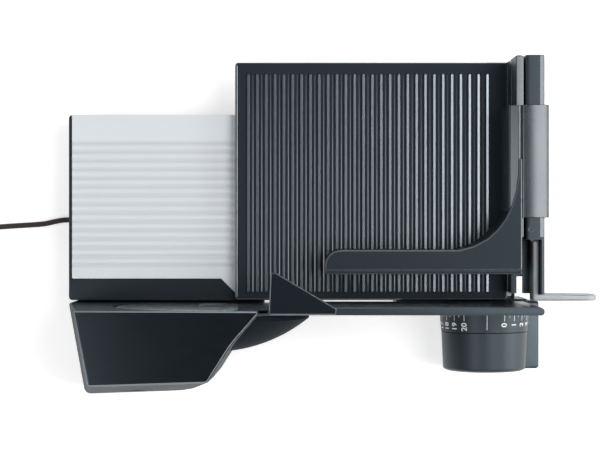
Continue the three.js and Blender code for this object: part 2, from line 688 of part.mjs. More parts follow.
function towerShell() {
  const block = towerBlock(FOOT_HEIGHT, TOWER_TOP, 0, 0);
  const seat = box(
    [TOWER_LEFT + 4, TOWER_RIGHT - 2],
    [-TOWER_FRONT_WALL + 1, BASE_FRONT - SEAT],
    [FOOT_HEIGHT, AXIS_Z - BLADE_R - 2 * RECESS_GAP],
  );
  const cavity = towerBlock(FOOT_HEIGHT + WALL, TOWER_TOP + 1, -WALL, -TOWER_FRONT_WALL);
  const recess = rod("y", [0, 0, AXIS_Z], BLADE_R + RECESS_GAP, DOME_FRONT, BASE_FRONT, 40);
  const mouth = rod("y", [0, 0, AXIS_Z], DOME_R - 8, -2 * TOWER_FRONT_WALL, 0, 36);
  const domeRoom = revolve(domeProfile(DOME_WALL, -TOWER_FRONT_WALL), "y", [0, 0, AXIS_Z], 32);
  const boreEnd = BUTTON_FACE_Y + 2 * BUTTON_THICKNESS;
  const buttonBore = rod("y", [BUTTON_X, 0, BUTTON_Z], BUTTON_R + RUN, TOWER_BACK_Y, boreEnd);
  const inside = towerBlock(FOOT_HEIGHT + 1, TOWER_TOP - PANEL_PLUG_DEPTH, -WALL / 2, -WALL);
  const posts = framePosts().map(([x, z]) =>
    rod("y", [x, 0, z], BOSS_R, TOWER_BACK_Y, FRAME_BACK - SEAT, 16));
  const shelfTop = BUTTON_Z - SWITCH_WIDTH / 2;
  const shelf = box(
    [BUTTON_X - SWITCH_WIDTH / 2, BUTTON_X + SWITCH_WIDTH / 2],
    [TOWER_BACK_Y, SWITCH_FACE_Y + SWITCH_DEPTH],
    [shelfTop - 2 * WALL, shelfTop],
  );
  const postBores = framePosts().map(([x, z]) =>
    rod("y", [x, 0, z], SCREW_R + SEAT, FRAME_BACK - 14, FRAME_BACK + 1, 12));
  const screwBores = TOWER_SCREWS.map(([x, z]) => rod("y", [x, 0, z], SCREW_R + SEAT, -7, BASE_FRONT, 12));
  const stemBore = rod("z", [...TOWER_FOOT, 0], FOOT_STEM_R + SEAT, 0, FOOT_HEIGHT + WALL + 6);
  const fittings = join(...posts, shelf).intersect(inside);
  const shell = cut(join(block, seat), cavity, recess, mouth, domeRoom);
  return cut(join(shell, fittings), buttonBore, stemBore, ...postBores, ...screwBores);
}

const framePosts = () => [
  [MOTOR_RIGHT + FRAME_POST_INSET, AXIS_Z - FRAME_POST_Z],
  [MOTOR_RIGHT + FRAME_POST_INSET, WORM_Z + FRAME_POST_Z],
];

// A lid over the whole top, held by a plug that fits the tower's opening
function towerTopPanel() {
  const bottom = TOWER_TOP + SEAT;
  const lid = prism(panelOutline(-0.2, 0), "z", bottom, bottom + PANEL_THICKNESS, 0.8);
  const opening = panelOutline(-WALL - SEAT, -TOWER_FRONT_WALL - SEAT);
  const hole = panelOutline(-2 * WALL - SEAT, -TOWER_FRONT_WALL - SEAT - WALL);
  const plug = prism(opening, "z", TOWER_TOP - PANEL_PLUG_DEPTH, bottom + 1);
  const room = prism(hole, "z", TOWER_TOP - PANEL_PLUG_DEPTH - 1, bottom);
  return join(lid, cut(plug, room));
}

function bladeBackCover() {
  const outer = revolve(domeProfile(0, DOME_FRONT), "y", [0, 0, AXIS_Z], 40);
  const inner = revolve(domeProfile(DOME_WALL, DOME_FRONT + 1), "y", [0, 0, AXIS_Z], 40);
  const tower = towerBlock(FOOT_HEIGHT - 1, TOWER_TOP + 1, SEAT, SEAT);
  return cut(outer, inner, tower);
}

function gearHousingPlate() {
  const front = GEAR_PLATE_BACK + GEAR_PLATE_THICKNESS;
  const plate = pipe("y", [0, 0, AXIS_Z], SHAFT_R + 3 + SEAT, BLADE_R - 4, GEAR_PLATE_BACK, front, 36);
  return plate;
}

// Drive

function frontBush() {
  const inner = SHAFT_R + SEAT;
  const face = GEAR_PLATE_BACK + GEAR_PLATE_THICKNESS;
  const profile = [
    [inner, face],
    [SHAFT_R + 3, face],
    [SHAFT_R + 3, GEAR_PLATE_BACK - SEAT],
    [SHAFT_R + 6, GEAR_PLATE_BACK - SEAT],
    [SHAFT_R + 6, GEAR_PLATE_BACK - 3],
    [SHAFT_R + 3, GEAR_PLATE_BACK - 3],
    [SHAFT_R + 3, GEAR_PLATE_BACK - 12],
    [inner, GEAR_PLATE_BACK - 12],
  ];
  return revolve(profile, "y", [0, 0, AXIS_Z], 18);
}

function gearFrame() {
  const posts = framePosts();
  const left = posts[0][0] - 8;
  const outline = roundedShape(
    [
      [left, posts[0][1] - 8],
      [posts[0][0] + 8, posts[0][1] - 8],
      [SHAFT_R + 2, AXIS_Z - 14],
      [SHAFT_R + 2, AXIS_Z + 12],
      [posts[0][0] + FRAME_POST_Z, WORM_Z + WORM_R + 2],
      [posts[0][0] + 8, posts[1][1] + 8],
      [left, posts[1][1] + 8],
    ],
    [4, 4, 5, 5, 8, 4, 4],
  );
  const sheet = prism(outline, "y", FRAME_BACK, FRAME_BACK + FRAME_THICKNESS);
  const ear = box(
    [MOTOR_RIGHT + SEAT, MOTOR_RIGHT + SEAT + FRAME_THICKNESS],
    [FRAME_BACK + 1, DRIVE_Y + FRAME_EAR_REACH],
    [WORM_Z - 14, WORM_Z + 14],
  );
  const holes = posts.map(([x, z]) => rod("y", [x, 0, z], SCREW_R + SEAT, FRAME_BACK - 1, DRIVE_Y, 12));
  const shaftHole = rod("y", [0, 0, AXIS_Z], SHAFT_R + SEAT, FRAME_BACK - 1, FRAME_BACK + 9);
  const wormHole = rod("x", [0, DRIVE_Y, WORM_Z], 6, MOTOR_RIGHT - 1, MOTOR_RIGHT + 9);
  return cut(join(sheet, ear), shaftHole, wormHole, ...holes);
}

function motorCan() {
  const left = MOTOR_RIGHT - MOTOR_LENGTH;
  const profile = [
    [0, left],
    [8, left],
    [8, left + 4],
    [MOTOR_R - 2, left + 4],
    [MOTOR_R, left + 6],
    [MOTOR_R, MOTOR_RIGHT - 3],
    [MOTOR_R - 3, MOTOR_RIGHT],
    [5, MOTOR_RIGHT],
    [5, MOTOR_RIGHT - 4],
    [0, MOTOR_RIGHT - 4],
  ];
  const can = revolve(profile, "x", [0, DRIVE_Y, WORM_Z], 24);
  const vents = [0, 1, 2, 3, 4, 5].map((i) => {
    const slot = box([left + 14, MOTOR_RIGHT - 14], [MOTOR_R - 2, MOTOR_R + 2], [-2.5, 2.5]);
    return slot.rotate([60 * i + 30, 0, 0]).translate([0, DRIVE_Y, WORM_Z]);
  });
  return cut(can, ...vents);
}

// Thread and shaft in one: the thread's radius follows a saw of trapezoids along a helix
function wormShaft() {
  const sides = 12;
  const stepsPerTurn = 5;
  const half = WORM_LENGTH / 2;
  const tip = WORM_R + GEAR_MODULE - TOOTH_SLACK / 4;
  const root = WORM_R - GEAR_MODULE - TOOTH_SLACK / 2;
  const journal = 4;
  const steps = Math.round((WORM_LENGTH / WORM_LEAD) * stepsPerTurn);
  const ring = (x, radiusAt) =>
    Array.from({ length: sides }, (_, j) => {
      const turn = (2 * Math.PI * j) / sides - Math.PI / 2;
      const radius = radiusAt(x, turn);
      return point(x, DRIVE_Y + radius * Math.cos(turn), WORM_Z + radius * Math.sin(turn));
    });
  const thread = (x, turn) => {
    const phase = x / WORM_LEAD - (turn + Math.PI / 2) / (2 * Math.PI);
    const offset = Math.abs(phase - Math.round(phase)) * WORM_LEAD;
    const crest = WORM_LEAD / 4 - TOOTH_SLACK;
    const flank = THREE.MathUtils.clamp((offset - crest / 2) / (WORM_LEAD / 4), 0, 1);
    return THREE.MathUtils.lerp(tip, root, flank);
  };
  const plain = (radius) => () => radius;
  const rings = [ring(MOTOR_RIGHT - 3, plain(journal)), ring(-half - 1, plain(journal))];
  rings.push(ring(-half - 0.8, plain(root)));
  for (let i = 0; i <= steps; i += 1) {
    rings.push(ring(-half + (i / steps) * WORM_LENGTH, thread));
  }
  rings.push(ring(half + 0.8, plain(root)), ring(half + 1, plain(journal)), ring(half + 3, plain(journal)));
  return skin(rings, false);
}

function driveGear() {
  const tip = GEAR_R + GEAR_MODULE - TOOTH_SLACK / 4;
  const root = GEAR_R - GEAR_MODULE - TOOTH_SLACK / 2;
  const pitch = (2 * Math.PI) / GEAR_TEETH;
  const slant = WORM_LEAD / (2 * Math.PI * WORM_R) / GEAR_R;
  const tooth = [[0.22, root], [0.36, tip], [0.64, tip], [0.78, root]];
  const back = DRIVE_Y - GEAR_WIDTH / 2;
  const front = DRIVE_Y + GEAR_WIDTH / 2;
  const inner = SHAFT_R + 2;
  const rings = [];
  for (let i = 0; i < GEAR_TEETH; i += 1) {
    for (const [share, radius] of tooth) {
      rings.push([[inner, back], [radius, back], [radius, front], [inner, front]].map(([r, y]) => {
        const turn = (i + share) * pitch + slant * (y - DRIVE_Y);
        return point(r * Math.sin(turn), y, AXIS_Z + r * Math.cos(turn));
      }));
    }
  }
  const rim = skin(rings, true);
  const hub = rod("y", [0, 0, AXIS_Z], SHAFT_R + 4, back - 3, front + 3);
  const bore = rod("y", [0, 0, AXIS_Z], SHAFT_R + SEAT, back - 4, front + 4);
  const dish = pipe("y", [0, 0, AXIS_Z], SHAFT_R + 5, root - 4, front - 2, front + 1, 20);
  return cut(join(rim, hub), bore, dish);
}

function bladeShaft() {
  const profile = [
    [0, SHAFT_END_Y],
    [SHAFT_R - 1, SHAFT_END_Y],
    [SHAFT_R, SHAFT_END_Y + 1],
    [SHAFT_R, -BLADE_THICKNESS - SEAT - 0.5],
    [SHAFT_R + 5, -BLADE_THICKNESS - SEAT - 0.5],
    [SHAFT_R + 5, -BLADE_THICKNESS - SEAT],
    [SHAFT_R, -BLADE_THICKNESS - SEAT],
    [SHAFT_R, -0.6],
    [3, -0.6],
    [3, -14],
    [0, -14],
  ];
  return revolve(profile, "y", [0, 0, AXIS_Z], 18);
}

// The disc is ground hollow on its back, and its edge runs in shallow waves
function blade() {
  const steps = BLADE_TEETH * 2;
  const rings = Array.from({ length: steps }, (_, j) => {
    const turn = (2 * Math.PI * j) / steps;
    const edge = BLADE_R - TOOTH_DEPTH * (j % 2);
    const profile = [
      [SHAFT_R + SEAT, 0],
      [BLADE_R - BLADE_BEVEL, 0],
      [edge, -BLADE_THICKNESS * 0.3],
      [BLADE_R - BLADE_BEVEL - 3, -BLADE_THICKNESS],
      [SHAFT_R + SEAT, -BLADE_THICKNESS],
    ];
    return profile.map(([r, y]) => point(r * Math.sin(turn), y, AXIS_Z + r * Math.cos(turn)));
  });
  return skin(rings, true);
}

function bladeLock() {
  const profile = [
    [0, -12],
    [3 - SEAT, -12],
    [3 - SEAT, SEAT],
    [13, SEAT],
    [13, 0.8],
    [11.5, 1.6],
    [0, 1.6],
  ];
  const cap = revolve(profile, "y", [0, 0, AXIS_Z], 20);
  return cut(cap, box([-9, 9], [0.7, 2], [AXIS_Z - 1.2, AXIS_Z + 1.2]));
}

// Switch

function onOffButton() {
  const inner = BUTTON_FACE_Y + BUTTON_THICKNESS;
  const profile = [
    [0, BUTTON_FACE_Y + 0.8],
    [BUTTON_R - 4, BUTTON_FACE_Y],
    [BUTTON_R - 1, BUTTON_FACE_Y],
    [BUTTON_R, BUTTON_FACE_Y + 1],
    [BUTTON_R, inner],
    [2.5, inner],
    [2.5, inner + SPRING_LENGTH - BUTTON_TRAVEL - RUN],
    [0, inner + SPRING_LENGTH - BUTTON_TRAVEL - RUN],
  ];
  return revolve(profile, "y", [BUTTON_X, 0, BUTTON_Z], 28);
}

const SWITCH_FACE_Y = BUTTON_FACE_Y + BUTTON_THICKNESS + SPRING_LENGTH;

function buttonSpring() {
  const turns = SPRING_CURLS * 8;
  const from = SWITCH_FACE_Y - SPRING_LENGTH + SPRING_WIRE_R + SEAT;
  const to = SWITCH_FACE_Y - SPRING_WIRE_R - SEAT;
  const path = Array.from({ length: turns + 1 }, (_, i) => {
    const angle = (2 * Math.PI * i) / 8;
    const y = THREE.MathUtils.lerp(from, to, i / turns);
    return point(BUTTON_X + SPRING_R * Math.cos(angle), y, BUTTON_Z + SPRING_R * Math.sin(angle));
  });
  return windTube(path, SPRING_WIRE_R, 5);
}

function switchBody() {
  const low = BUTTON_Z - SWITCH_WIDTH / 2 + SEAT;
  const half = SWITCH_WIDTH / 2;
  const outline = rectangle([BUTTON_X - half, BUTTON_X + half], [low, low + SWITCH_WIDTH], 2);
  const back = SWITCH_FACE_Y + SWITCH_DEPTH;
  const tabs = [-1, 0, 1].map((side) => {
    const x = BUTTON_X + (side * half) / 2;
    return box([x - 0.4, x + 0.4], [back - 1, back + 8], [low + half - 3, low + half + 3]);
  });
  return join(prism(outline, "y", SWITCH_FACE_Y, back), ...tabs);
}

// Stop plate and thickness knob

function plateOutline(inset) {
  const arc = BLADE_R + PLATE_ARC_GAP + inset;
  const shape = new THREE.Shape();
  const low = PLATE_BOTTOM + inset - AXIS_Z;
  const high = PLATE_TOP - inset - AXIS_Z;
  shape.moveTo(PLATE_RIGHT - inset, PLATE_BOTTOM + inset);
  shape.lineTo(PLATE_RIGHT - inset, PLATE_TOP - inset);
  shape.lineTo(Math.sqrt(arc * arc - high * high), PLATE_TOP - inset);
  shape.absarc(0, AXIS_Z, arc, Math.asin(high / arc), Math.asin(low / arc), true);
  shape.closePath();
  return shape;
}

function stopPlate() {
  const slab = prism(plateOutline(0), "y", PLATE_BACK, PLATE_PROUD, 0, 6);
  const beadY = (PLATE_PROUD + PLATE_BACK) / 2;
  const bead = rod("z", [PLATE_RIGHT, beadY, 0], PLATE_BEAD_R, PLATE_BOTTOM, PLATE_TOP, 16);
  const hollow = prism(plateOutline(PLATE_SKIN), "y", PLATE_BACK - 1, PLATE_PROUD - PLATE_SKIN, 0, 6);
  const pitch = (PLATE_TOP - PLATE_BOTTOM) / PLATE_RIB_COUNT;
  const ribs = Array.from({ length: PLATE_RIB_COUNT - 1 }, (_, i) => {
    const z = PLATE_BOTTOM + (i + 1) * pitch;
    const rib = box([0, PLATE_RIGHT], [PLATE_BACK, PLATE_PROUD - 1], [z - 1, z + 1]);
    return rib.intersect(slab);
  });
  const grooves = Array.from({ length: PLATE_RIB_COUNT }, (_, i) => {
    const z = PLATE_BOTTOM + (i + 0.5) * pitch;
    return box([0, PLATE_RIGHT - 8], [PLATE_PROUD - 0.6, PLATE_PROUD + 1], [z - 2, z + 2]);
  });
  const pad = box(
    [CARRIER_LEFT, CARRIER_RIGHT - 10],
    [PLATE_BACK, PLATE_PROUD - 1],
    [PLATE_BOTTOM, CARRIER_TOP],
  );
  return cut(join(cut(slab, hollow), bead, ...ribs, pad.intersect(slab)), ...grooves);
}

function fingerGuard() {
  const outline = roundedShape(
    [
      [GUARD_LEFT, PLATE_BACK + 0.8],
      [GUARD_RIGHT, PLATE_BACK + 0.8],
      [GUARD_RIGHT, PLATE_PROUD],
      [GUARD_LEFT + 6, GUARD_TIP_Y + 1.5],
      [GUARD_LEFT + 1.5, GUARD_TIP_Y + 1.5],
    ],
    [1.5, 1, 1, 3, 1.5],
  );
  return prism(outline, "z", PLATE_TOP + SEAT, PLATE_TOP + SEAT + GUARD_THICKNESS, 0.5);
}

function plateCarrier() {
  const outline = roundedShape(
    [
      [CARRIER_LEFT, CARRIER_BOTTOM],
      [CARRIER_RIGHT, CARRIER_BOTTOM],
      [CARRIER_RIGHT, PLATE_BOTTOM + 8],
      [CARRIER_RIGHT - CARRIER_SLANT, CARRIER_TOP],
      [CARRIER_LEFT + CARRIER_SLANT, CARRIER_TOP],
      [CARRIER_LEFT, PLATE_BOTTOM + 8],
    ],
    [6, 6, 8, 8, 8, 8],
  );
  const sheet = prism(outline, "y", CARRIER_BACK, CARRIER_FACE);
  const hubBore = rod("y", [KNOB_X, 0, KNOB_Z], HUB_R + SEAT, CARRIER_BACK - 1, CARRIER_FACE + 1, 32);
  const barBores = GUIDE_BAR_X.map((x) =>
    rod("y", [x, 0, GUIDE_BAR_Z], GUIDE_BAR_R - 1, CARRIER_BACK - 1, CARRIER_FACE + 1));
  return cut(sheet, hubBore, ...barBores);
}

function guideBar(x) {
  const profile = [
    [0, CARRIER_BACK],
    [GUIDE_BAR_R - 1 - SEAT, CARRIER_BACK],
    [GUIDE_BAR_R - 1 - SEAT, CARRIER_FACE + SEAT],
    [GUIDE_BAR_R, CARRIER_FACE + SEAT],
    [GUIDE_BAR_R, CARRIER_FACE + GUIDE_BAR_LENGTH - 1],
    [GUIDE_BAR_R - 1, CARRIER_FACE + GUIDE_BAR_LENGTH],
    [0, CARRIER_FACE + GUIDE_BAR_LENGTH],
  ];
  return revolve(profile, "y", [x, 0, GUIDE_BAR_Z], 16);
}

function guideBush(x) {
  const inner = GUIDE_BAR_R + SEAT;
  return pipe("y", [x, 0, GUIDE_BAR_Z], inner, GUIDE_BUSH_R, SILL_FRONT, SILL_FRONT + GUIDE_BUSH_LENGTH, 20);
}

class CamHelix extends THREE.Curve {
  constructor(radius, startY, extra) {
    super();
    Object.assign(this, { radius, startY, extra });
  }

  getPoint(t) {
    const turn = THREE.MathUtils.lerp(-this.extra, CAM_TURN + this.extra, t);
    const y = this.startY - (CAM_TRAVEL * turn) / CAM_TURN;
    return point(KNOB_X - this.radius * Math.sin(turn), y, KNOB_Z + this.radius * Math.cos(turn));
  }
}

const CAM_PIN_Y = KNOB_BACK - CAM_PIN_BEHIND_KNOB;

function camPost() {
  const end = SILL_FRONT - SEAT - POST_LENGTH;
  const profile = [
    [0, end],
    [POST_R - 1.5, end],
    [POST_R, end + 1.5],
    [POST_R, SILL_FRONT - SEAT],
    [POST_R * 0.6, SILL_FRONT - SEAT],
    [POST_R * 0.6, BASE_FRONT - 1],
    [0, BASE_FRONT - 1],
  ];
  const post = revolve(profile, "y", [KNOB_X, 0, KNOB_Z], 20);
  const section = new THREE.Shape();
  section.absarc(0, 0, CAM_GROOVE_R, 0, 2 * Math.PI);
  const helix = new CamHelix(CAM_GROOVE_FLOOR_R + CAM_GROOVE_R, CAM_PIN_Y, 0.35);
  const groove = new THREE.ExtrudeGeometry(section, { steps: 32, curveSegments: 4, extrudePath: helix });
  return cut(post, toSolid(groove));
}

function camPin() {
  const inner = KNOB_Z + CAM_GROOVE_FLOOR_R + CAM_GROOVE_R / 2;
  return rod("z", [KNOB_X, CAM_PIN_Y, 0], CAM_PIN_R, inner, KNOB_Z + HUB_R, 12);
}

function knobGrip() {
  const front = KNOB_GRIP_BACK;
  const inner = KNOB_GRIP_R - KNOB_WALL;
  const floor = SILL_FRONT - SEAT - POST_LENGTH - 1;
  const rim = KNOB_GRIP_R - KNOB_TAPER;
  const profile = [
    [0, KNOB_END],
    [rim * 0.5, KNOB_END + 0.4],
    [rim * 0.85, KNOB_END + 1.6],
    [rim - 1, KNOB_END + 3],
    [rim, KNOB_END + 5.5],
    [KNOB_GRIP_R, front],
    [inner, front],
    [inner - KNOB_TAPER, floor],
    [HUB_R, floor],
    [HUB_R, CARRIER_FACE + 1.4],
    [POST_R + SEAT, CARRIER_FACE + 1.4],
    [POST_R + SEAT, floor],
    [0, floor],
  ];
  const grip = revolve(profile, "y", [KNOB_X, 0, KNOB_Z], 32);
  return cut(grip, rod("z", [KNOB_X, CAM_PIN_Y, KNOB_Z], CAM_PIN_R + SEAT, POST_R, HUB_R + 2, 12));
}

function knobScaleRing() {
  const front = KNOB_BACK - KNOB_RING_WIDTH;
  const spigot = KNOB_GRIP_R - KNOB_WALL - SEAT;
  const profile = [
    [HUB_R + SEAT, KNOB_BACK],
    [KNOB_RING_R - 0.6, KNOB_BACK],
    [KNOB_RING_R, KNOB_BACK - 0.6],
    [KNOB_RING_R, front + 0.6],
    [KNOB_RING_R - 0.6, front],
    [spigot, front],
    [spigot, front - 6],
    [spigot - KNOB_WALL, front - 6],
    [spigot - KNOB_WALL, KNOB_BACK - KNOB_WALL],
    [HUB_R + SEAT, KNOB_BACK - KNOB_WALL],
  ];
  return revolve(profile, "y", [KNOB_X, 0, KNOB_Z], 32);
}

function knobRetainer() {
  const inner = HUB_R + SEAT;
  return pipe("y", [KNOB_X, 0, KNOB_Z], inner, inner + 2.4, CARRIER_FACE + SEAT, CARRIER_FACE + 1.2, 24);
}

// Carriage

function stadium(x, width, y0, y1) {
  const half = width / 2;
  const shape = new THREE.Shape();
  shape.absarc(x, y0 + half, half, Math.PI, 2 * Math.PI);
  shape.absarc(x, y1 - half, half, 0, Math.PI);
  shape.closePath();
  return shape;
}

function carriagePlate() {
  const outline = (inset) =>
    rectangle(
      [CARRIAGE_LEFT + inset, CARRIAGE_RIGHT - inset],
      [CARRIAGE_FRONT + inset, CARRIAGE_BACK - inset],
      Math.max(3 - inset, 0.5),
    );
  const slab = prism(outline(0), "z", CARRIAGE_UNDER - SKIRT_DEPTH, CARRIAGE_TOP);
  const hollow = prism(outline(WALL), "z", CARRIAGE_UNDER - SKIRT_DEPTH - 1, CARRIAGE_UNDER);
  const flangeGap = box(
    [CARRIAGE_RIGHT - WALL_FLANGE - 2, CARRIAGE_RIGHT + 1],
    [0, CARRIAGE_BACK + 1],
    [CARRIAGE_UNDER - SKIRT_DEPTH - 1, CARRIAGE_UNDER],
  );
  const runnerGap = box(
    [RUNNER_LEFT - 1, RUNNER_RIGHT + 1],
    [CARRIAGE_BACK - 5, CARRIAGE_BACK + 1],
    [CARRIAGE_UNDER - SKIRT_DEPTH - 1, CARRIAGE_UNDER - SKIRT_DEPTH / 2],
  );
  const ribs = Array.from({ length: CARRIAGE_RIB_COUNT }, (_, i) => {
    const x = FIRST_RIB_X + i * RIB_PITCH;
    const shape = stadium(x, RIB_WIDTH, CARRIAGE_FRONT + RIB_FRONT_MARGIN, CARRIAGE_BACK - RIB_BACK_MARGIN);
    return prism(shape, "z", CARRIAGE_TOP - 1, CARRIAGE_TOP + RIB_HEIGHT);
  });
  const rim = prism(
    stadium(CARRIAGE_LEFT + RIM_WIDTH / 2 + 0.4, RIM_WIDTH, CARRIAGE_FRONT + 2, CARRIAGE_BACK - 2),
    "z",
    CARRIAGE_TOP - 1,
    CARRIAGE_TOP + RIM_HEIGHT,
  );
  return join(cut(slab, hollow, flangeGap, runnerGap), rim, ...ribs);
}

function carriageWall() {
  const under = CARRIAGE_UNDER - SEAT;
  const bottom = under - WALL;
  const skinLeft = PUSHER_RAIL_LEFT + WALL;
  const skinRight = PUSHER_RAIL_RIGHT - WALL;
  const shape = roundedShape(
    [
      [CARRIAGE_RIGHT - WALL_FLANGE, bottom],
      [skinLeft, bottom],
      [skinLeft, PUSHER_RAIL_TOP - WALL],
      [skinRight, PUSHER_RAIL_TOP - WALL],
      [skinRight, bottom],
      [PUSHER_RAIL_RIGHT, bottom],
      [PUSHER_RAIL_RIGHT, PUSHER_RAIL_TOP],
      [PUSHER_RAIL_LEFT, PUSHER_RAIL_TOP],
      [PUSHER_RAIL_LEFT, PUSHER_RAIL_LOW_Z - 10],
      [RIDGE_RIGHT, PUSHER_RAIL_LOW_Z - 10],
      [RIDGE_RIGHT, RIDGE_TOP],
      [WALL_LEFT, RIDGE_TOP],
      [WALL_LEFT, under],
      [CARRIAGE_RIGHT - WALL_FLANGE, under],
    ],
    [0.5, 0.5, 2, 2, 0.5, 0.5, 4, 3, 0.5, 0.5, 2.4, 2.4, 0.5, 0.5],
  );
  const whole = prism(shape, "y", WALL_FRONT, CARRIAGE_BACK + 0.5, 0, 2);
  const lowRail = box(
    [WALL_LEFT - 1, PUSHER_RAIL_RIGHT - WALL + 0.1],
    [0, PUSHER_RAIL_END_Y],
    [PUSHER_RAIL_LOW_Z, PUSHER_RAIL_TOP + 1],
  );
  const drain = box([RIDGE_RIGHT - 1, RIDGE_RIGHT + 2 * WALL], [0, CRUMB_SLOT_END], [0, PUSHER_RAIL_TOP]);
  const brow = box(
    [WALL_LEFT, PUSHER_RAIL_RIGHT - WALL],
    [CRUMB_SLOT_END, PUSHER_RAIL_END_Y],
    [PUSHER_RAIL_LOW_Z - 2 * WALL, PUSHER_RAIL_LOW_Z],
  );
  const ledge = box(
    [PUSHER_RAIL_LEFT + 2, PUSHER_RAIL_RIGHT - WALL],
    [WALL_FRONT, CRUMB_SLOT_END],
    [PUSHER_RAIL_LOW_Z - 2 * WALL, PUSHER_RAIL_LOW_Z],
  );
  const dimple = rod(
    "z",
    [PUSHER_RAIL_LEFT + 4.2, PUSHER_RAIL_END_Y + DIMPLE_INSET, 0],
    DIMPLE_R,
    PUSHER_RAIL_TOP - DIMPLE_DEPTH,
    PUSHER_RAIL_TOP + 1,
  );
  const line = box(
    [WALL_LEFT - 1, WALL_LEFT + WALL_LINE_DEPTH],
    [0, CARRIAGE_BACK + 1],
    [WALL_LINE_Z - 1.5, WALL_LINE_Z + 1.5],
  );
  return cut(join(cut(whole, lowRail, drain), brow, ledge), dimple, line);
}

function thumbGuard() {
  const left = PUSHER_RAIL_RIGHT - WALL - SEAT - THUMB_THICKNESS;
  const front = WALL_FRONT - SEAT - THUMB_THICKNESS;
  const outer = THUMB_BOTTOM + 10;
  const shield = roundedShape(
    [
      [left, PUSHER_RAIL_LOW_Z + SEAT],
      [PUSHER_RAIL_RIGHT, PUSHER_RAIL_LOW_Z + SEAT],
      [PUSHER_RAIL_RIGHT, THUMB_BOTTOM],
      [THUMB_RIGHT, outer],
      [THUMB_RIGHT, THUMB_TOP],
      [left, THUMB_TOP],
    ],
    [2.4, 4, 4, 12, 14, 2.4],
  );
  const leg = rectangle([front, PUSHER_RAIL_END_Y - SEAT], [PUSHER_RAIL_LOW_Z + SEAT, THUMB_TOP], 2.4);
  return join(
    prism(shield, "y", front, front + THUMB_THICKNESS, 1.6, 3),
    prism(leg, "x", left, left + THUMB_THICKNESS, 1.4),
  );
}

// A long hanger with two shoes that ride on the guide rail behind the base
function carriageRunner() {
  const top = CARRIAGE_UNDER - SEAT;
  const low = RAIL_Z - RAIL_R - 3;
  const inner = RAIL_WALL_Y + 1.2;
  const shape = roundedShape(
    [
      [inner, low],
      [RUNNER_FACE_Y + RUNNER_WALL, low],
      [RUNNER_FACE_Y + RUNNER_WALL, top - 4],
      [RUNNER_FACE_Y + RUNNER_FLANGE, top - 4],
      [RUNNER_FACE_Y + RUNNER_FLANGE, top],
      [RUNNER_FACE_Y, top],
      [RUNNER_FACE_Y, RAIL_Z + RAIL_R + 3],
      [inner, RAIL_Z + RAIL_R + 3],
    ],
    [2, 2, 3, 0.5, 0.5, 0.5, 1, 2],
  );
  const whole = prism(shape, "x", RUNNER_LEFT, RUNNER_RIGHT, 0, 3);
  const between = box(
    [RUNNER_LEFT + RUNNER_SHOE, RUNNER_RIGHT - RUNNER_SHOE],
    [inner - 1, RUNNER_FACE_Y],
    [low - 1, RAIL_Z + RAIL_R + 4],
  );
  const bore = rod("x", [0, RAIL_Y, RAIL_Z], RAIL_R + RUN, RUNNER_LEFT - 1, RUNNER_RIGHT + 1);
  return cut(whole, between, bore);
}

function frontGlide() {
  const y = [CARRIAGE_FRONT + WALL + 6, CARRIAGE_FRONT + WALL + 6 + GLIDE_WIDTH];
  const shape = rectangle(y, [COVER_TOP_Z + SEAT, CARRIAGE_UNDER - SEAT], 1);
  return prism(shape, "x", GLIDE_LEFT, CARRIAGE_RIGHT - WALL_FLANGE - 6);
}

// Pusher

// Seen from above: a straight front, and a back that sweeps up along the saddle
function pusherOutline(inset) {
  const front = PUSHER_FRONT + inset;
  const back = PUSHER_FRONT + PUSHER_DEPTH - inset;
  const right = SADDLE_STEP - SEAT;
  const foot = right - PUSHER_CURVE_LENGTH;
  const tip = PUSHER_TIP_Y - 4 * inset;
  const shape = new THREE.Shape();
  shape.moveTo(PUSHER_LEFT + inset + 2, front);
  shape.lineTo(right, front);
  shape.lineTo(right, tip);
  shape.lineTo(right - 3 + inset, tip);
  const bend = right - PUSHER_CURVE_LENGTH / 3 + inset;
  shape.bezierCurveTo(right - 1.5 + inset, tip - PUSHER_CURVE_RISE, bend, back + 6, foot, back);
  shape.lineTo(PUSHER_LEFT + 14, back);
  shape.quadraticCurveTo(PUSHER_LEFT + inset + 1, back - 1, PUSHER_LEFT + inset, front + 6);
  shape.lineTo(PUSHER_LEFT + inset, front + 2);
  shape.closePath();
  return shape;
}

// The body stands left of the saddle, and a web on its top lies on the saddle's shoulder
function pusherBody() {
  const edge = SADDLE_LEFT - SEAT;
  const web = SADDLE_SHOULDER_Z + SEAT;
  const whole = prism(pusherOutline(0), "z", PUSHER_BOTTOM, PUSHER_TOP, 1.2, 8);
  const tool = prism(pusherOutline(PUSHER_WALL), "z", PUSHER_BOTTOM - 1, PUSHER_TOP - PUSHER_WALL, 0, 8);
  const beyond = [PUSHER_FRONT - 1, PUSHER_TIP_Y + 1];
  const hollow = cut(tool, box([edge - PUSHER_WALL, edge + SADDLE_WEB_WIDTH], beyond, [0, PUSHER_TOP]));
  const saddleRoom = box([edge, edge + SADDLE_WEB_WIDTH], beyond, [0, web]);
  const lip = box(
    [PUSHER_LEFT - 1, edge + SADDLE_WEB_WIDTH],
    [PUSHER_FRONT - 1, PUSHER_FRONT + PUSHER_LIP_DEPTH],
    [PUSHER_TOP - PUSHER_LIP_DROP, PUSHER_TOP + 1],
  );
  const sheet = spikeSheet();
  const seat = prism(sheet(SEAT), "y", PUSHER_FRONT - 1, PUSHER_FRONT + SPIKE_PLATE_THICKNESS + SEAT);
  return cut(whole, hollow, saddleRoom, lip, seat);
}

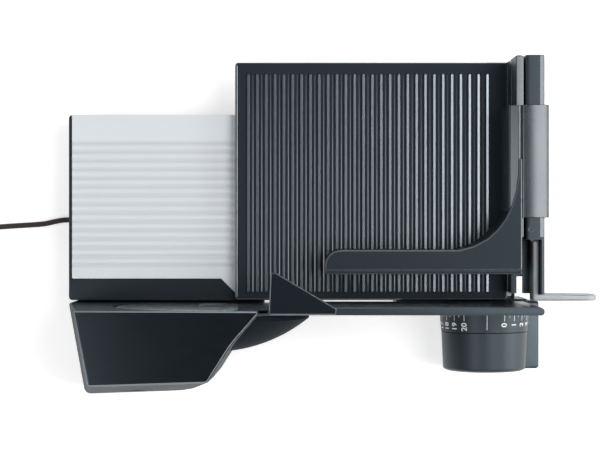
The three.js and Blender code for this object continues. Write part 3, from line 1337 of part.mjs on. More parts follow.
// A saddle that rides over the rail on top of the carriage wall
function pusherSaddle() {
  const inner = WALL_LEFT - RUN;
  const outer = PUSHER_RAIL_RIGHT + RUN;
  const roof = PUSHER_RAIL_TOP + RUN;
  const shape = roundedShape(
    [
      [SADDLE_LEFT, PUSHER_BOTTOM + 2],
      [inner, PUSHER_BOTTOM + 2],
      [inner, SADDLE_SHOULDER_Z - PUSHER_WALL],
      [SADDLE_STEP + PUSHER_WALL, SADDLE_SHOULDER_Z - PUSHER_WALL],
      [SADDLE_STEP + PUSHER_WALL, roof],
      [outer, roof],
      [outer, SADDLE_SKIRT_Z],
      [outer + PUSHER_WALL, SADDLE_SKIRT_Z],
      [outer + PUSHER_WALL, roof + PUSHER_WALL],
      [SADDLE_STEP, roof + PUSHER_WALL],
      [SADDLE_STEP, SADDLE_SHOULDER_Z],
      [SADDLE_LEFT, SADDLE_SHOULDER_Z],
    ],
    [1, 1, 1.5, 0.5, 0.5, 3.4, 1, 1, 6, 1.6, 0.4, 3],
  );
  return prism(shape, "y", SADDLE_FRONT, SADDLE_BACK, 0, 3);
}

function spikeSheet() {
  const left = PUSHER_LEFT + 8;
  const right = SADDLE_LEFT - 14;
  const [low, high] = [PUSHER_BOTTOM + 8, PUSHER_TOP - 12];
  return (grow) => rectangle([left - grow, right + grow], [low - grow, high + grow], 4);
}

function spikePlate() {
  const left = PUSHER_LEFT + 8;
  const right = SADDLE_LEFT - 14;
  const [low, high] = [PUSHER_BOTTOM + 8, PUSHER_TOP - 12];
  const sheet = prism(spikeSheet()(0), "y", PUSHER_FRONT, PUSHER_FRONT + SPIKE_PLATE_THICKNESS);
  const pitch = (right - left - 2 * SPIKE_MARGIN) / (SPIKE_COLUMNS - 1);
  const spikes = [];
  for (const z of [low + 6, (low + high) / 2]) {
    for (let i = 0; i < SPIKE_COLUMNS; i += 1) {
      const cone = new THREE.ConeGeometry(1.6, SPIKE_LENGTH + 0.5, 6);
      cone.rotateX(Math.PI);
      cone.translate(left + 10 + i * pitch, PUSHER_FRONT - SPIKE_LENGTH / 2 + 0.25, z);
      spikes.push(toSolid(cone));
    }
  }
  return join(sheet, ...spikes);
}

// Mains lead

function strainRelief() {
  const seat = BASE_LEFT + POCKET_DEPTH;
  const neck = RELIEF_ROOT_R - 1 - SEAT;
  const profile = [
    [0, seat - RELIEF_LENGTH],
    [RELIEF_TIP_R, seat - RELIEF_LENGTH],
    [RELIEF_ROOT_R, seat - SEAT - 3],
    [RELIEF_ROOT_R, seat - SEAT],
    [neck, seat - SEAT],
    [neck, seat + WALL + SEAT],
    [RELIEF_ROOT_R, seat + WALL + SEAT],
    [RELIEF_ROOT_R, seat + WALL + 3],
    [0, seat + WALL + 3],
  ];
  const body = revolve(profile, "x", [0, CORD_EXIT_Y, CORD_EXIT_Z], 14);
  const slots = [1, 2, 3].map((i) => {
    const x = seat - 1 - i * 5.4;
    return pipe("x", [0, CORD_EXIT_Y, CORD_EXIT_Z], RELIEF_TIP_R - 0.5, RELIEF_ROOT_R + 1, x, x + 1.2, 14);
  });
  return cut(body, ...slots);
}

// From the strain relief down to the table and along it to the coil
const LEAD_ROUTE = [
  [-140.3, 75.5, 16],
  [-148, 75.1, 15.4],
  [-156, 73.7, 12.6],
  [-165, 71.9, 8.3],
  [-174, 71, 4.9],
  [-184, 70.4, 3.7],
  [-197, 69.6, 3.6],
  [-213, 68.5, 3.6],
  [-229, 67.6, 3.6],
  [-245, 67.1, 3.6],
  [-256.7, 67, 3.6],
];

// From the end of the coil down to the plug
const TAIL_ROUTE = [
  [-300.5, 23.2, 9.2],
  [-300.5, 15, 9],
  [-300.3, 5, 7.9],
  [-299.7, -5, 6.9],
  [-299, -15, 6.85],
  [-298.8, -24, 6.85],
];

// Spirals in on the table, climbs in the half turn where the spiral turns back, and spirals out
function coilPath() {
  const middle = COIL_TURNS / 2;
  const steps = Math.round(COIL_TURNS * 24);
  const path = [point(COIL_X + 2 * CORD_R, COIL_Y + COIL_OUTER_R, COIL_FLOOR_Z)];
  for (let i = 0; i <= steps; i += 1) {
    const turn = (i / steps) * COIL_TURNS;
    const radius = COIL_OUTER_R - COIL_PITCH * Math.min(turn, COIL_TURNS - turn);
    const climb = THREE.MathUtils.smoothstep(turn, middle - 0.25, middle + 0.25);
    const angle = Math.PI / 2 + 2 * Math.PI * turn;
    const x = COIL_X + radius * Math.cos(angle);
    path.push(point(x, COIL_Y + radius * Math.sin(angle), COIL_FLOOR_Z + COIL_PITCH * climb));
  }
  const end = path.at(-1);
  path.push(point(end.x, end.y - 2 * CORD_R, end.z));
  return path;
}

// The least gap between stretches of cord that lie more than a third of a turn apart
function leastGap(path) {
  let least = Infinity;
  for (let i = 0; i < path.length; i += 1) {
    for (let j = i + 8; j < path.length; j += 1) {
      least = Math.min(least, path[i].distanceTo(path[j]) - 2 * CORD_R);
    }
  }
  return least;
}

function cordCoil() {
  const path = coilPath();
  console.log(`least gap between the coil's turns: ${leastGap(path).toFixed(2)} mm`);
  return windTube(path, CORD_R, 6);
}

function cordTie() {
  const slack = 0.6;
  const inner = COIL_OUTER_R - COIL_PITCH * 2.75 - CORD_R - slack;
  const outer = COIL_OUTER_R - COIL_PITCH * 0.5 + CORD_R + slack;
  const top = COIL_FLOOR_Z + COIL_PITCH + CORD_R + SEAT;
  const loop = rectangle([COIL_X + inner - TIE_THICKNESS, COIL_X + outer + TIE_THICKNESS],
    [0, top + TIE_THICKNESS], 1.6);
  const hole = rectangle([COIL_X + inner, COIL_X + outer], [TIE_THICKNESS, top], 0.8);
  loop.holes.push(new THREE.Path(hole.getPoints(2)));
  return prism(loop, "y", COIL_Y - TIE_WIDTH / 2, COIL_Y + TIE_WIDTH / 2);
}

function cordPlug() {
  const [x, start, z] = TAIL_ROUTE.at(-1);
  const back = start - SEAT;
  const half = PLUG_WIDTH / 2;
  const outline = roundedShape(
    [
      [x - 6, back],
      [x - half, back - 14],
      [x - half, back - PLUG_LENGTH],
      [x + half, back - PLUG_LENGTH],
      [x + half, back - 14],
      [x + 6, back],
    ],
    [3, 8, 4, 4, 8, 3],
  );
  const body = prism(outline, "z", z - PLUG_HEIGHT / 2, z + PLUG_HEIGHT / 2, 2);
  const tip = back - PLUG_LENGTH - PLUG_PIN_LENGTH;
  const pins = [-1, 1].map((side) => {
    const profile = [
      [0, tip],
      [PLUG_PIN_R - 1, tip],
      [PLUG_PIN_R, tip + 1.5],
      [PLUG_PIN_R, back - PLUG_LENGTH + 3],
      [0, back - PLUG_LENGTH + 3],
    ];
    return revolve(profile, "y", [x + (side * PLUG_PIN_SPACING) / 2, 0, z], 12);
  });
  return join(body, ...pins);
}

// Finishes
const finish = (color, roughness, metalness = 0) => ({ color, roughness, metalness });
const BLACK_PLASTIC = finish(0x23282d, 0.45);
const SLATE_PLASTIC = finish(0x2b3238, 0.5);
const GREY_PLASTIC = finish(0x4b5056, 0.45);
const GLOSS_BLACK = finish(0x0a0b0c, 0.12);
const SILVER = finish(0xd9dee2, 0.4, 0.6);
const STEEL = finish(0xc4c8cc, 0.25, 1);
const BRASS = finish(0xb08d4a, 0.35, 1);
const ZINC = finish(0x9a9ea2, 0.5, 0.9);
const WHITE_PLASTIC = finish(0xe6e4dc, 0.5);
const RUBBER = finish(0x1a1a1a, 0.9);
const CORD_RUBBER = finish(0x2e2826, 0.7);

const slicer = new THREE.Group();

// Each rigid body of the machine is a group of named pieces
function body(...pieces) {
  const group = new THREE.Group();
  for (const [name, solid, look] of pieces) {
    const mesh = new THREE.Mesh(toGeometry(solid), new THREE.MeshStandardMaterial(look));
    mesh.name = name;
    group.add(mesh);
  }
  slicer.add(group);
  return group;
}

body(
  ["base_shell", baseShell(), BLACK_PLASTIC],
  ["base_cover_plate", baseCoverPlate(), SILVER],
  ["bottom_plate", bottomPlate(), GREY_PLASTIC],
  ["foot_back_left", rubberFoot(BASE_FEET[0]), RUBBER],
  ["foot_back_right", rubberFoot(BASE_FEET[1]), RUBBER],
  ["foot_front_right", rubberFoot(TOE_FOOT), RUBBER],
  ["foot_front_left", rubberFoot(TOWER_FOOT), RUBBER],
  ["guide_rail", guideRail(), STEEL],
  ["tower_shell", towerShell(), GREY_PLASTIC],
  ["tower_top_panel", towerTopPanel(), GLOSS_BLACK],
  ["blade_back_cover", bladeBackCover(), BLACK_PLASTIC],
  ["gear_housing_plate", gearHousingPlate(), GREY_PLASTIC],
  ["front_bush", frontBush(), BRASS],
  ["gear_frame", gearFrame(), ZINC],
  ["motor_can", motorCan(), ZINC],
  ["switch_body", switchBody(), BLACK_PLASTIC],
  ["button_spring", buttonSpring(), STEEL],
  ["cam_post", camPost(), ZINC],
  ["guide_bush_left", guideBush(GUIDE_BAR_X[0]), BRASS],
  ["guide_bush_right", guideBush(GUIDE_BAR_X[1]), BRASS],
  ["strain_relief", strainRelief(), RUBBER],
);

const bottomHead = BOTTOM_PLATE_Z - SEAT;
BOTTOM_SCREWS.forEach(([x, y], i) => {
  const solid = screw("z", [x, y, 0], bottomHead - 2.2, bottomHead, BOSS_BOTTOM + 14);
  body([`bottom_plate_screw_${i + 1}`, solid, STEEL]);
});
TOWER_SCREWS.forEach(([x, z], i) => {
  const head = BASE_FRONT + WALL + SEAT;
  body([`tower_screw_${i + 1}`, screw("y", [x, 0, z], head + 2.4, head, -5), STEEL]);
});
framePosts().forEach(([x, z], i) => {
  const head = FRAME_BACK + FRAME_THICKNESS + SEAT;
  body([`frame_screw_${i + 1}`, screw("y", [x, 0, z], head + 2.4, head, FRAME_BACK - 10), STEEL]);
});

body(
  ["blade", blade(), STEEL],
  ["blade_lock", bladeLock(), GREY_PLASTIC],
  ["blade_shaft", bladeShaft(), STEEL],
  ["drive_gear", driveGear(), WHITE_PLASTIC],
);
body(["worm_shaft", wormShaft(), STEEL]);
body(["on_off_button", onOffButton(), GREY_PLASTIC]);

body(
  ["stop_plate", stopPlate(), SLATE_PLASTIC],
  ["finger_guard", fingerGuard(), SLATE_PLASTIC],
  ["plate_carrier", plateCarrier(), ZINC],
  ["guide_bar_left", guideBar(GUIDE_BAR_X[0]), STEEL],
  ["guide_bar_right", guideBar(GUIDE_BAR_X[1]), STEEL],
);
body(
  ["knob_scale_ring", knobScaleRing(), GREY_PLASTIC],
  ["knob_grip", knobGrip(), GREY_PLASTIC],
  ["cam_pin", camPin(), STEEL],
  ["knob_retainer", knobRetainer(), STEEL],
);

body(
  ["carriage_plate", carriagePlate(), SLATE_PLASTIC],
  ["carriage_wall", carriageWall(), SLATE_PLASTIC],
  ["thumb_guard", thumbGuard(), STEEL],
  ["carriage_runner", carriageRunner(), BLACK_PLASTIC],
  ["front_glide", frontGlide(), WHITE_PLASTIC],
);
body(
  ["pusher_body", pusherBody(), SLATE_PLASTIC],
  ["pusher_saddle", pusherSaddle(), SLATE_PLASTIC],
  ["spike_plate", spikePlate(), STEEL],
);

// The origin is the middle of the footprint of everything but the lead, on the table
const footprint = new THREE.Box3().setFromObject(slicer);
slicer.position.set(-(footprint.min.x + footprint.max.x) / 2, -(footprint.min.y + footprint.max.y) / 2, 0);

body(
  ["cord_lead", cordTube(LEAD_ROUTE), CORD_RUBBER],
  ["cord_coil", cordCoil(), CORD_RUBBER],
  ["cord_tail", cordTube(TAIL_ROUTE), CORD_RUBBER],
  ["cord_tie", cordTie(), RUBBER],
  ["cord_plug", cordPlug(), RUBBER],
);

export default slicer;
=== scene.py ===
"""Finishes, printed scale and lead of an electric food slicer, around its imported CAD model."""

import json
import math

import bmesh
import bpy
from bpy.props import FloatProperty, FloatVectorProperty, IntProperty, PointerProperty
from bpy.types import Operator, Panel, PropertyGroup
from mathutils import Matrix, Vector


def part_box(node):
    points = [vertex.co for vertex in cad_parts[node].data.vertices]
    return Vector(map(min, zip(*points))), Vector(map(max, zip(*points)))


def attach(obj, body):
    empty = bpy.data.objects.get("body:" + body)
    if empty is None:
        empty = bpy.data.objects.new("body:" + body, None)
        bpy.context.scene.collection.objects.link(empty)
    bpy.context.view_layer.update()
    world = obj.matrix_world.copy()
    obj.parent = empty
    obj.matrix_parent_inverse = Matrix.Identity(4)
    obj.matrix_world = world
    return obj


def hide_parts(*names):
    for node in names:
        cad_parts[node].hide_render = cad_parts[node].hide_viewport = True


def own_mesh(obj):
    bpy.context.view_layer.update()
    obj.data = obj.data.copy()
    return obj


bl_info = {
    "name": "Food slicer",
    "version": (1, 0, 0),
    "blender": (4, 5, 0),
    "location": "View3D > Sidebar > Slicer",
    "description": "Finishes an electric food slicer around its CAD frame",
    "category": "Object",
}

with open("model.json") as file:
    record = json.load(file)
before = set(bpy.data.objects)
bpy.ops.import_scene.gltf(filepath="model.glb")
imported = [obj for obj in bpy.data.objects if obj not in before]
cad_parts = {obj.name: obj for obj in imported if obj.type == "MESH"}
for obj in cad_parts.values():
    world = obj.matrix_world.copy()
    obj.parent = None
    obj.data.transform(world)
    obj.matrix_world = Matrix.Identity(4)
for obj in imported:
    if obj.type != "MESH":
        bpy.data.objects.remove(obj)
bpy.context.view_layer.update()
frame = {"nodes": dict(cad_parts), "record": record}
BODY_OF = {
    node: body
    for body, nodes in frame["record"]["behaviour"]["bodies"].items()
    for node in nodes
}
SLOT_OF = {part["node"]: part["material_slot"] for part in frame["record"]["subparts"]}
MM = 0.001


def low(node):
    return Vector(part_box(node)[0])


def high(node):
    return Vector(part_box(node)[1])


def middle(node):
    return (low(node) + high(node)) / 2


KNOB = middle("knob_scale_ring")
BLADE = middle("blade")
ORIGIN = Vector((BLADE.x, high("blade").y, 0.0))
# The stage
FLOOR_HALF = 6
FLOOR_GAP = 0.0002
# The floor's glow near the slicer and far from it, and the two distances
FLOOR_GLOW = (0.5, 1.0, 0.5, 2.0)
FILL_LEVEL = 0.26
CEILING_LEVEL = 0.08
# Fades of the backdrop from left to right and from wall to ceiling: two directions, two levels
WALL_FADE = (-0.5, 0.6, 0.45, 1.0)
CEILING_FADE = (0.3, 0.92, 0.0, 1.0)
# Lamps: name, place, target, brightness, side
LAMPS = (
    ("softbox_right", (0.82, 0.1, 2.1), (0.05, 0, 0.1), 7.5, 1.0),
    ("sidelight_right", (1.9, 0.0, 0.8), (0.1, 0, 0.08), 5.0, 1.2),
    ("softbox_left", (-0.97, -0.25, 2.0), (-0.1, 0, 0.1), 4.6, 0.9),
    ("softbox_back", (0.1, 1.8, 1.4), (0, 0, 0.1), 1.2, 1.0),
    ("softbox_front", (0.0, -1.8, 1.3), (0, 0, 0.1), 1.0, 1.0),
)
CAMERA_HEIGHT = 1.6
CAMERA_LENS = 100.86
VIEW_CENTRE = Vector((-0.0225, 0.003, 0.0))


def at(x, y, z):
    """A point in millimetres from the blade's axis, the cutting face and the table"""
    return ORIGIN + Vector((x, y, z)) * MM


# Where the base's foot under the knob begins
TOE_CORNER = at(212, -10, 0)
# The lead's route, as in the part's source
LEAD_ROUTE = [
    at(-140.3, 75.5, 16),
    at(-148, 75.1, 15.4),
    at(-156, 73.7, 12.6),
    at(-165, 71.9, 8.3),
    at(-174, 71, 4.9),
    at(-184, 70.4, 3.7),
    at(-197, 69.6, 3.6),
    at(-213, 68.5, 3.6),
    at(-229, 67.6, 3.6),
    at(-245, 67.1, 3.6),
    at(-256.7, 67, 3.6),
]
TAIL_ROUTE = [
    at(-300.5, 23.2, 9.2),
    at(-300.5, 15, 9),
    at(-300.3, 5, 7.9),
    at(-299.7, -5, 6.9),
    at(-299, -15, 6.85),
    at(-298.8, -24, 6.85),
]
COIL_CENTRE = at(-262, 28.5, 3.6)
COIL_RADIUS = 0.0385
COIL_TURNS = 6.25
COIL_PITCH = 0.0056
PIN_LENGTH = 0.019
# Steps of a turned piece and of one turn of the coil
TURNED_STEPS = 160
COIL_STEPS = 40
# The thickness of a hair, and how near points are one, on a CAD node and on a made shape
HAIR = 0.00005
CAD_MERGE = 1e-6
MERGE = 1e-7
# The knob's scale: how many marks, how far its numbers stand from the cutting face, and the index
MARKS = 21
NUMBER_DEPTH = 0.0166
INDEX_ANGLE = math.radians(-2.3)
# The carriage: top of its plate between the ribs, and the ribs' row, the first one in millimetres
PLATE_TOP = 0.08
RIB_COUNT = 28
RIB_PITCH = 0.008
FIRST_RIB = 29.4


class SlicerSizes(PropertyGroup):
    """Sizes of the details that are added to the CAD model"""

    edge: FloatProperty(
        name="Edge radius",
        description="Rounding of moulded edges",
        default=0.0007,
        unit="LENGTH",
    )
    cord: FloatProperty(
        name="Lead diameter",
        description="Diameter of the mains lead",
        default=0.005,
        unit="LENGTH",
    )
    tick: FloatProperty(
        name="Tick width",
        description="Line width of the printed scale",
        default=0.0005,
        unit="LENGTH",
    )
    digit: FloatProperty(
        name="Digit height",
        description="Type size of the numbers on the scale",
        default=0.0076,
        unit="LENGTH",
    )
    first_mark: FloatProperty(
        name="First mark",
        description="Angle of the scale's nought from the knob's top",
        default=math.radians(21.0),
        unit="ROTATION",
    )
    mark_pitch: FloatProperty(
        name="Mark pitch",
        description="Angle from one mark of the scale to the next",
        default=math.radians(15.32),
        unit="ROTATION",
    )
    rib: FloatProperty(
        name="Rib width",
        description="Width of the carriage's ribs",
        default=0.0036,
        unit="LENGTH",
    )
    rib_top: FloatProperty(
        name="Rib top width",
        description="Width of the polished band on each rib",
        default=0.0021,
        unit="LENGTH",
    )
    ridge: FloatProperty(
        name="Ridge width",
        description="Width of the fine ridges between the ribs",
        default=0.001,
        unit="LENGTH",
    )
    teeth: IntProperty(
        name="Blade waves",
        description="Number of waves around the blade's edge",
        default=48,
    )


def colour(name, description, default):
    return FloatVectorProperty(
        name=name, description=description, default=default, subtype="COLOR", min=0, max=1
    )


class SlicerColours(PropertyGroup):
    """Colours of the finishes"""

    slate: colour("Slate plastic", "Carriage, pusher and stop plate", (0.0075, 0.0125, 0.0175))
    # Painted highlight: the rib tops' light metallic colour stands in for the highlights on the
    # ribs
    rib: colour("Rib tops", "Light rib tops, painted as highlights", (0.175, 0.2, 0.22))
    # Painted highlights: the edge colour, much lighter than the plastic, is laid on rounded edges
    # where light catches them
    edge: colour("Rubbed edges", "Edges painted lighter as highlights", (0.06, 0.072, 0.083))
    dome: colour("Blade dome", "Cover behind the blade", (0.009, 0.013, 0.017))
    # Painted sheen: the thumb guard's light grey stands in for the highlights on its dark plastic
    guard: colour("Thumb guard", "Satin finish of the thumb guard", (0.3, 0.325, 0.35))
    black: colour("Black plastic", "Base", (0.006, 0.0095, 0.0135))
    grey: colour("Grey plastic", "Tower and knob", (0.017, 0.025, 0.031))
    gloss: colour("Gloss black", "Panel on the tower", (0.0025, 0.0045, 0.0062))
    silver: colour("Silver plate", "Ribbed cover of the base", (0.65, 0.68, 0.71))
    steel: colour("Steel", "Blade, rods and screws", (0.6, 0.61, 0.62))
    bronze: colour("Bronze", "Bushes", (0.45, 0.3, 0.1))
    cast: colour("Die cast", "Frame, motor and cam", (0.34, 0.35, 0.36))
    acetal: colour("White plastic", "Gear and glide", (0.78, 0.76, 0.7))
    rubber: colour("Rubber", "Feet, strain relief and plug", (0.012, 0.012, 0.012))
    cord: colour("Lead", "Mains lead", (0.03, 0.024, 0.021))
    ink: colour("Print", "Scale on the knob", (0.8, 0.82, 0.82))


def sizes():
    return bpy.context.scene.slicer_sizes


def colours():
    return bpy.context.scene.slicer_colours


RANGE = ("From Min", "From Max", "To Min", "To Max")


class Finish:
    """A node-based material on Object coordinates"""

    def __init__(self, name):
        self.material = bpy.data.materials.new(name)
        self.material.use_nodes = True
        self.nodes = self.material.node_tree.nodes
        self.links = self.material.node_tree.links
        self.shader = self.nodes["Principled BSDF"]
        self.place = self.add("ShaderNodeTexCoord").outputs["Object"]

    def add(self, kind, **settings):
        node = self.nodes.new(kind)
        for key, value in settings.items():
            setattr(node, key, value)
        return node

    def put(self, value, socket):
        if isinstance(value, bpy.types.NodeSocket):
            self.links.new(value, socket)
        else:
            socket.default_value = value

    def set(self, **values):
        for key, value in values.items():
            self.put(value, self.shader.inputs[key.replace("_", " ")])
        return self

    def stretched(self, scale, turn=(0, 0, 0)):
        mapping = self.add("ShaderNodeMapping")
        mapping.inputs["Rotation"].default_value = turn
        mapping.inputs["Scale"].default_value = scale
        self.put(self.place, mapping.inputs["Vector"])
        return mapping.outputs["Vector"]

    def noise(self, scale, detail=3, vector=None):
        node = self.add("ShaderNodeTexNoise")
        self.put(vector or self.place, node.inputs["Vector"])
        node.inputs["Scale"].default_value = scale
        node.inputs["Detail"].default_value = detail
        return node.outputs["Fac"]

    def spread(self, value, lowest, highest, start=0.3, end=0.7):
        node = self.add("ShaderNodeMapRange")
        self.put(value, node.inputs["Value"])
        for key, number in zip(RANGE, (start, end, lowest, highest)):
            node.inputs[key].default_value = number
        return node.outputs["Result"]

    def math(self, operation, a, b=0.0):
        node = self.add("ShaderNodeMath", operation=operation)
        self.put(a, node.inputs[0])
        self.put(b, node.inputs[1])
        return node.outputs[0]

    def blend(self, factor, a, b):
        node = self.add("ShaderNodeMix", data_type="RGBA")
        for key, value in zip((0, 6, 7), (factor, a, b)):
            self.put(value, node.inputs[key])
        return node.outputs[2]

    def tint(self, base, value, amount):
        """The base colour, darker and lighter with a pattern"""
        dark = [c * (1 - amount) for c in base] + [1]
        light = [min(c * (1 + amount), 1) for c in base] + [1]
        return self.blend(value, dark, light)

    def bump(self, value, strength, distance):
        node = self.add("ShaderNodeBump")
        node.inputs["Strength"].default_value = strength
        node.inputs["Distance"].default_value = distance
        self.put(value, node.inputs["Height"])
        self.put(node.outputs["Normal"], self.shader.inputs["Normal"])
        return self

    def axes(self):
        node = self.add("ShaderNodeSeparateXYZ")
        self.put(self.place, node.inputs[0])
        return node.outputs


# Tints of what plastic reflects
COOL = (0.74, 0.89, 1.0, 1.0)
PALE = (0.9, 0.96, 1.0, 1.0)


def moulded(name, base, roughness, grain, depth, specular, cast):
    """Moulded plastic with a fine spark-eroded grain and faint flow marks"""
    finish = Finish(name)
    cloud = finish.noise(18, 4)
    fine = finish.noise(grain, 2)
    finish.set(
        Base_Color=finish.tint(base, cloud, 0.08),
        Roughness=finish.spread(cloud, roughness - 0.02, roughness + 0.02),
        Specular_IOR_Level=specular,
        Specular_Tint=cast,
    )
    return finish.bump(fine, 0.2, depth).material


def gloss_black(base):
    """Polished plastic with faint wiping marks"""
    finish = Finish("gloss_black_panel")
    wipe = finish.noise(60, 3, finish.stretched((1, 6, 1), (0, 0, 0.5)))
    finish.set(
        Base_Color=finish.tint(base, finish.noise(9), 0.2),
        Roughness=finish.spread(wipe, 0.19, 0.22),
        Specular_IOR_Level=0.4,
        Specular_Tint=COOL,
    )
    return finish.bump(finish.noise(9), 0.02, 0.0002).material


def satin_silver(base):
    """Satin metal sheet, finely brushed along the carriage's travel, with painted shade darkening
    its grooves
    """
    finish = Finish("satin_silver_plate")
    brush = finish.noise(2600, 2, finish.stretched((0.02, 1, 1)))
    cloud = finish.noise(9, 2)
    top = high("base_cover_plate").z
    # Painted shade: the colour darkens towards the bottom of each groove
    depth = finish.spread(finish.axes()["Z"], 0.89, 1.0, top - 0.0008, top - 0.0001)
    bright = finish.tint(base, brush, 0.03)
    shade = finish.add("ShaderNodeVectorMath", operation="SCALE")
    finish.put(bright, shade.inputs[0])
    finish.put(depth, shade.inputs["Scale"])
    finish.set(
        Base_Color=shade.outputs[0],
        Metallic=0.2,
        Roughness=finish.spread(cloud, 0.44, 0.5),
    )
    return finish.bump(brush, 0.04, 0.00003).material


def polished(name, base, roughness, metallic):
    """Smooth light finish, painted as highlights on the rib tops and the thumb guard, with faint
    lengthwise rubbing
    """
    finish = Finish(name)
    rub = finish.noise(500, 3, finish.stretched((1, 0.02, 1)))
    finish.set(
        Base_Color=finish.tint(base, rub, 0.02),
        Metallic=metallic,
        Roughness=finish.spread(rub, roughness - 0.005, roughness + 0.005),
    )
    return finish.material


def ground_steel(base):
    """Blade steel with concentric grinding about the blade's axis"""
    finish = Finish("ground_blade_steel")
    x, _, z = finish.axes()
    across = finish.math("SUBTRACT", x, BLADE.x)
    up = finish.math("SUBTRACT", z, BLADE.z)
    square = finish.math("ADD", finish.math("POWER", across, 2.0), finish.math("POWER", up, 2.0))
    radius = finish.math("SQRT", square)
    ring = finish.add("ShaderNodeCombineXYZ")
    finish.put(radius, ring.inputs[0])
    rings = finish.noise(2600, 4, ring.outputs[0])
    finish.set(
        Base_Color=finish.tint(base, rings, 0.06),
        Metallic=1.0,
        Roughness=finish.spread(rings, 0.15, 0.24),
    )
    return finish.bump(rings, 0.02, 0.00002).material


def metal(name, base, roughness, grain=900):
    """Turned, drawn or cast metal"""
    finish = Finish(name)
    marks = finish.noise(grain, 4)
    finish.set(
        Base_Color=finish.tint(base, marks, 0.1),
        Metallic=1.0,
        Roughness=finish.spread(marks, roughness - 0.08, roughness + 0.08),
    )
    return finish.bump(marks, 0.15, 0.00008).material


def soft_rubber(name, base, roughness):
    """Matt rubber with a dusty bloom"""
    finish = Finish(name)
    bloom = finish.noise(120, 5)
    finish.set(
        Base_Color=finish.tint(base, bloom, 0.3),
        Roughness=finish.spread(bloom, roughness - 0.06, roughness + 0.08),
        Specular_IOR_Level=0.35,
    )
    return finish.bump(finish.noise(1500, 2), 0.2, 0.00006).material


def printed_ink(base):
    """Printed marks, worn a little thin"""
    finish = Finish("printed_scale_ink")
    worn = finish.noise(900, 4)
    finish.set(Base_Color=finish.tint(base, worn, 0.08), Roughness=finish.spread(worn, 0.45, 0.6))
    return finish.material


# Moulded finishes: key, name, colour and its share, roughness, grain and its depth in microns,
# specular level, tint of what it reflects
MOULDED = (
    ("slate_plastic", "slate_plastic_satin", "slate", 1, 0.42, 2400, 40, 0.25, COOL),
    ("slate_dark", "slate_plastic_dark", "slate", 0.7, 0.5, 2400, 40, 0.09, COOL),
    ("slate_gloss", "slate_plastic_gloss", "slate", 1, 0.3, 2400, 30, 0.45, COOL),
    # Painted edge highlight: the edge colour on rounded edges of slate and grey plastic
    ("slate_edge_highlight", "slate_rubbed_edges", "edge", 1, 0.28, 1500, 20, 0.8, PALE),
    ("slate_matt", "slate_plastic_matt", "slate", 1, 0.55, 2000, 40, 0.25, COOL),
    ("ridge_gloss", "slate_ridge_gloss", "slate", 1, 0.2, 1500, 10, 0.9, PALE),
    # Painted edge highlight: the edge colour made lighter still, on the panel's rounded edges
    ("panel_edge_highlight", "panel_bright_edges", "edge", 3.2, 0.3, 1500, 20, 0.8, PALE),
    ("saddle_satin", "slate_saddle_satin", "grey", 1, 0.26, 2400, 10, 0.9, PALE),
    ("toe_satin", "grey_toe_satin", "grey", 1, 0.3, 2400, 30, 0.65, COOL),
    ("black_plastic", "black_plastic_satin", "black", 1, 0.36, 2200, 40, 0.28, COOL),
    ("black_edge", "black_rubbed_edges", "black", 1, 0.3, 1500, 20, 0.7, COOL),
    ("dome_black", "black_dome_satin", "dome", 1, 0.5, 2200, 40, 0.01, COOL),
    ("grey_plastic", "grey_plastic_satin", "grey", 1, 0.42, 2000, 50, 0.4, COOL),
    ("knob_satin", "grey_knob_satin", "grey", 0.6, 0.46, 2000, 50, 0.62, COOL),
    ("grey_matt", "grey_plastic_matt", "grey", 1, 0.5, 2000, 50, 0.05, COOL),
    ("white_plastic", "white_gear_plastic", "acetal", 1, 0.4, 1500, 40, 0.5, COOL),
)
# Finishes for rounded edges: painted highlights in a lighter colour, except on black plastic,
# whose edges are only glossier
EDGE_HIGHLIGHT_FINISHES = {
    "slate_plastic": "slate_edge_highlight",
    "slate_matt": "slate_edge_highlight",
    "slate_dark": "slate_edge_highlight",
    "slate_gloss": "slate_edge_highlight",
    "black_plastic": "black_edge",
    "grey_plastic": "slate_edge_highlight",
    "grey_matt": "slate_edge_highlight",
    "gloss_black": "panel_edge_highlight",
}
FINISHES = {}
REPEAT = {}
MICRON = 1e-6


def make_finishes():
    c = colours()
    for key, name, base, share, roughness, grain, depth, specular, cast in MOULDED:
        base = [share * n for n in getattr(c, base)]
        FINISHES[key] = moulded(name, base, roughness, grain, depth * MICRON, specular, cast)
    FINISHES.update(
        # Painted highlight: light metallic rib tops
        rib_polish=polished("polished_rib_tops", c.rib, roughness=0.24, metallic=0.85),
        # Painted sheen: the thumb guard's light grey
        guard_satin=polished("satin_thumb_guard", c.guard, roughness=0.42, metallic=0.2),
        gloss_black=gloss_black(c.gloss),
        silver_plate=satin_silver(c.silver),
        blade_steel=ground_steel(c.steel),
        steel=metal("drawn_steel", c.steel, roughness=0.28),
        bearing_bronze=metal("turned_bronze", c.bronze, roughness=0.4),
        die_cast=metal("cast_alloy", c.cast, roughness=0.52, grain=500),
        rubber=soft_rubber("black_rubber", c.rubber, roughness=0.72),
        cord_rubber=soft_rubber("lead_sheath", c.cord, roughness=0.6),
        ink=printed_ink(c.ink),
    )


# The finish for a finish's rounded edges: a painted highlight, where it has one
def rubbed(finish):
    return [EDGE_HIGHLIGHT_FINISHES[finish]] if finish in EDGE_HIGHLIGHT_FINISHES else []


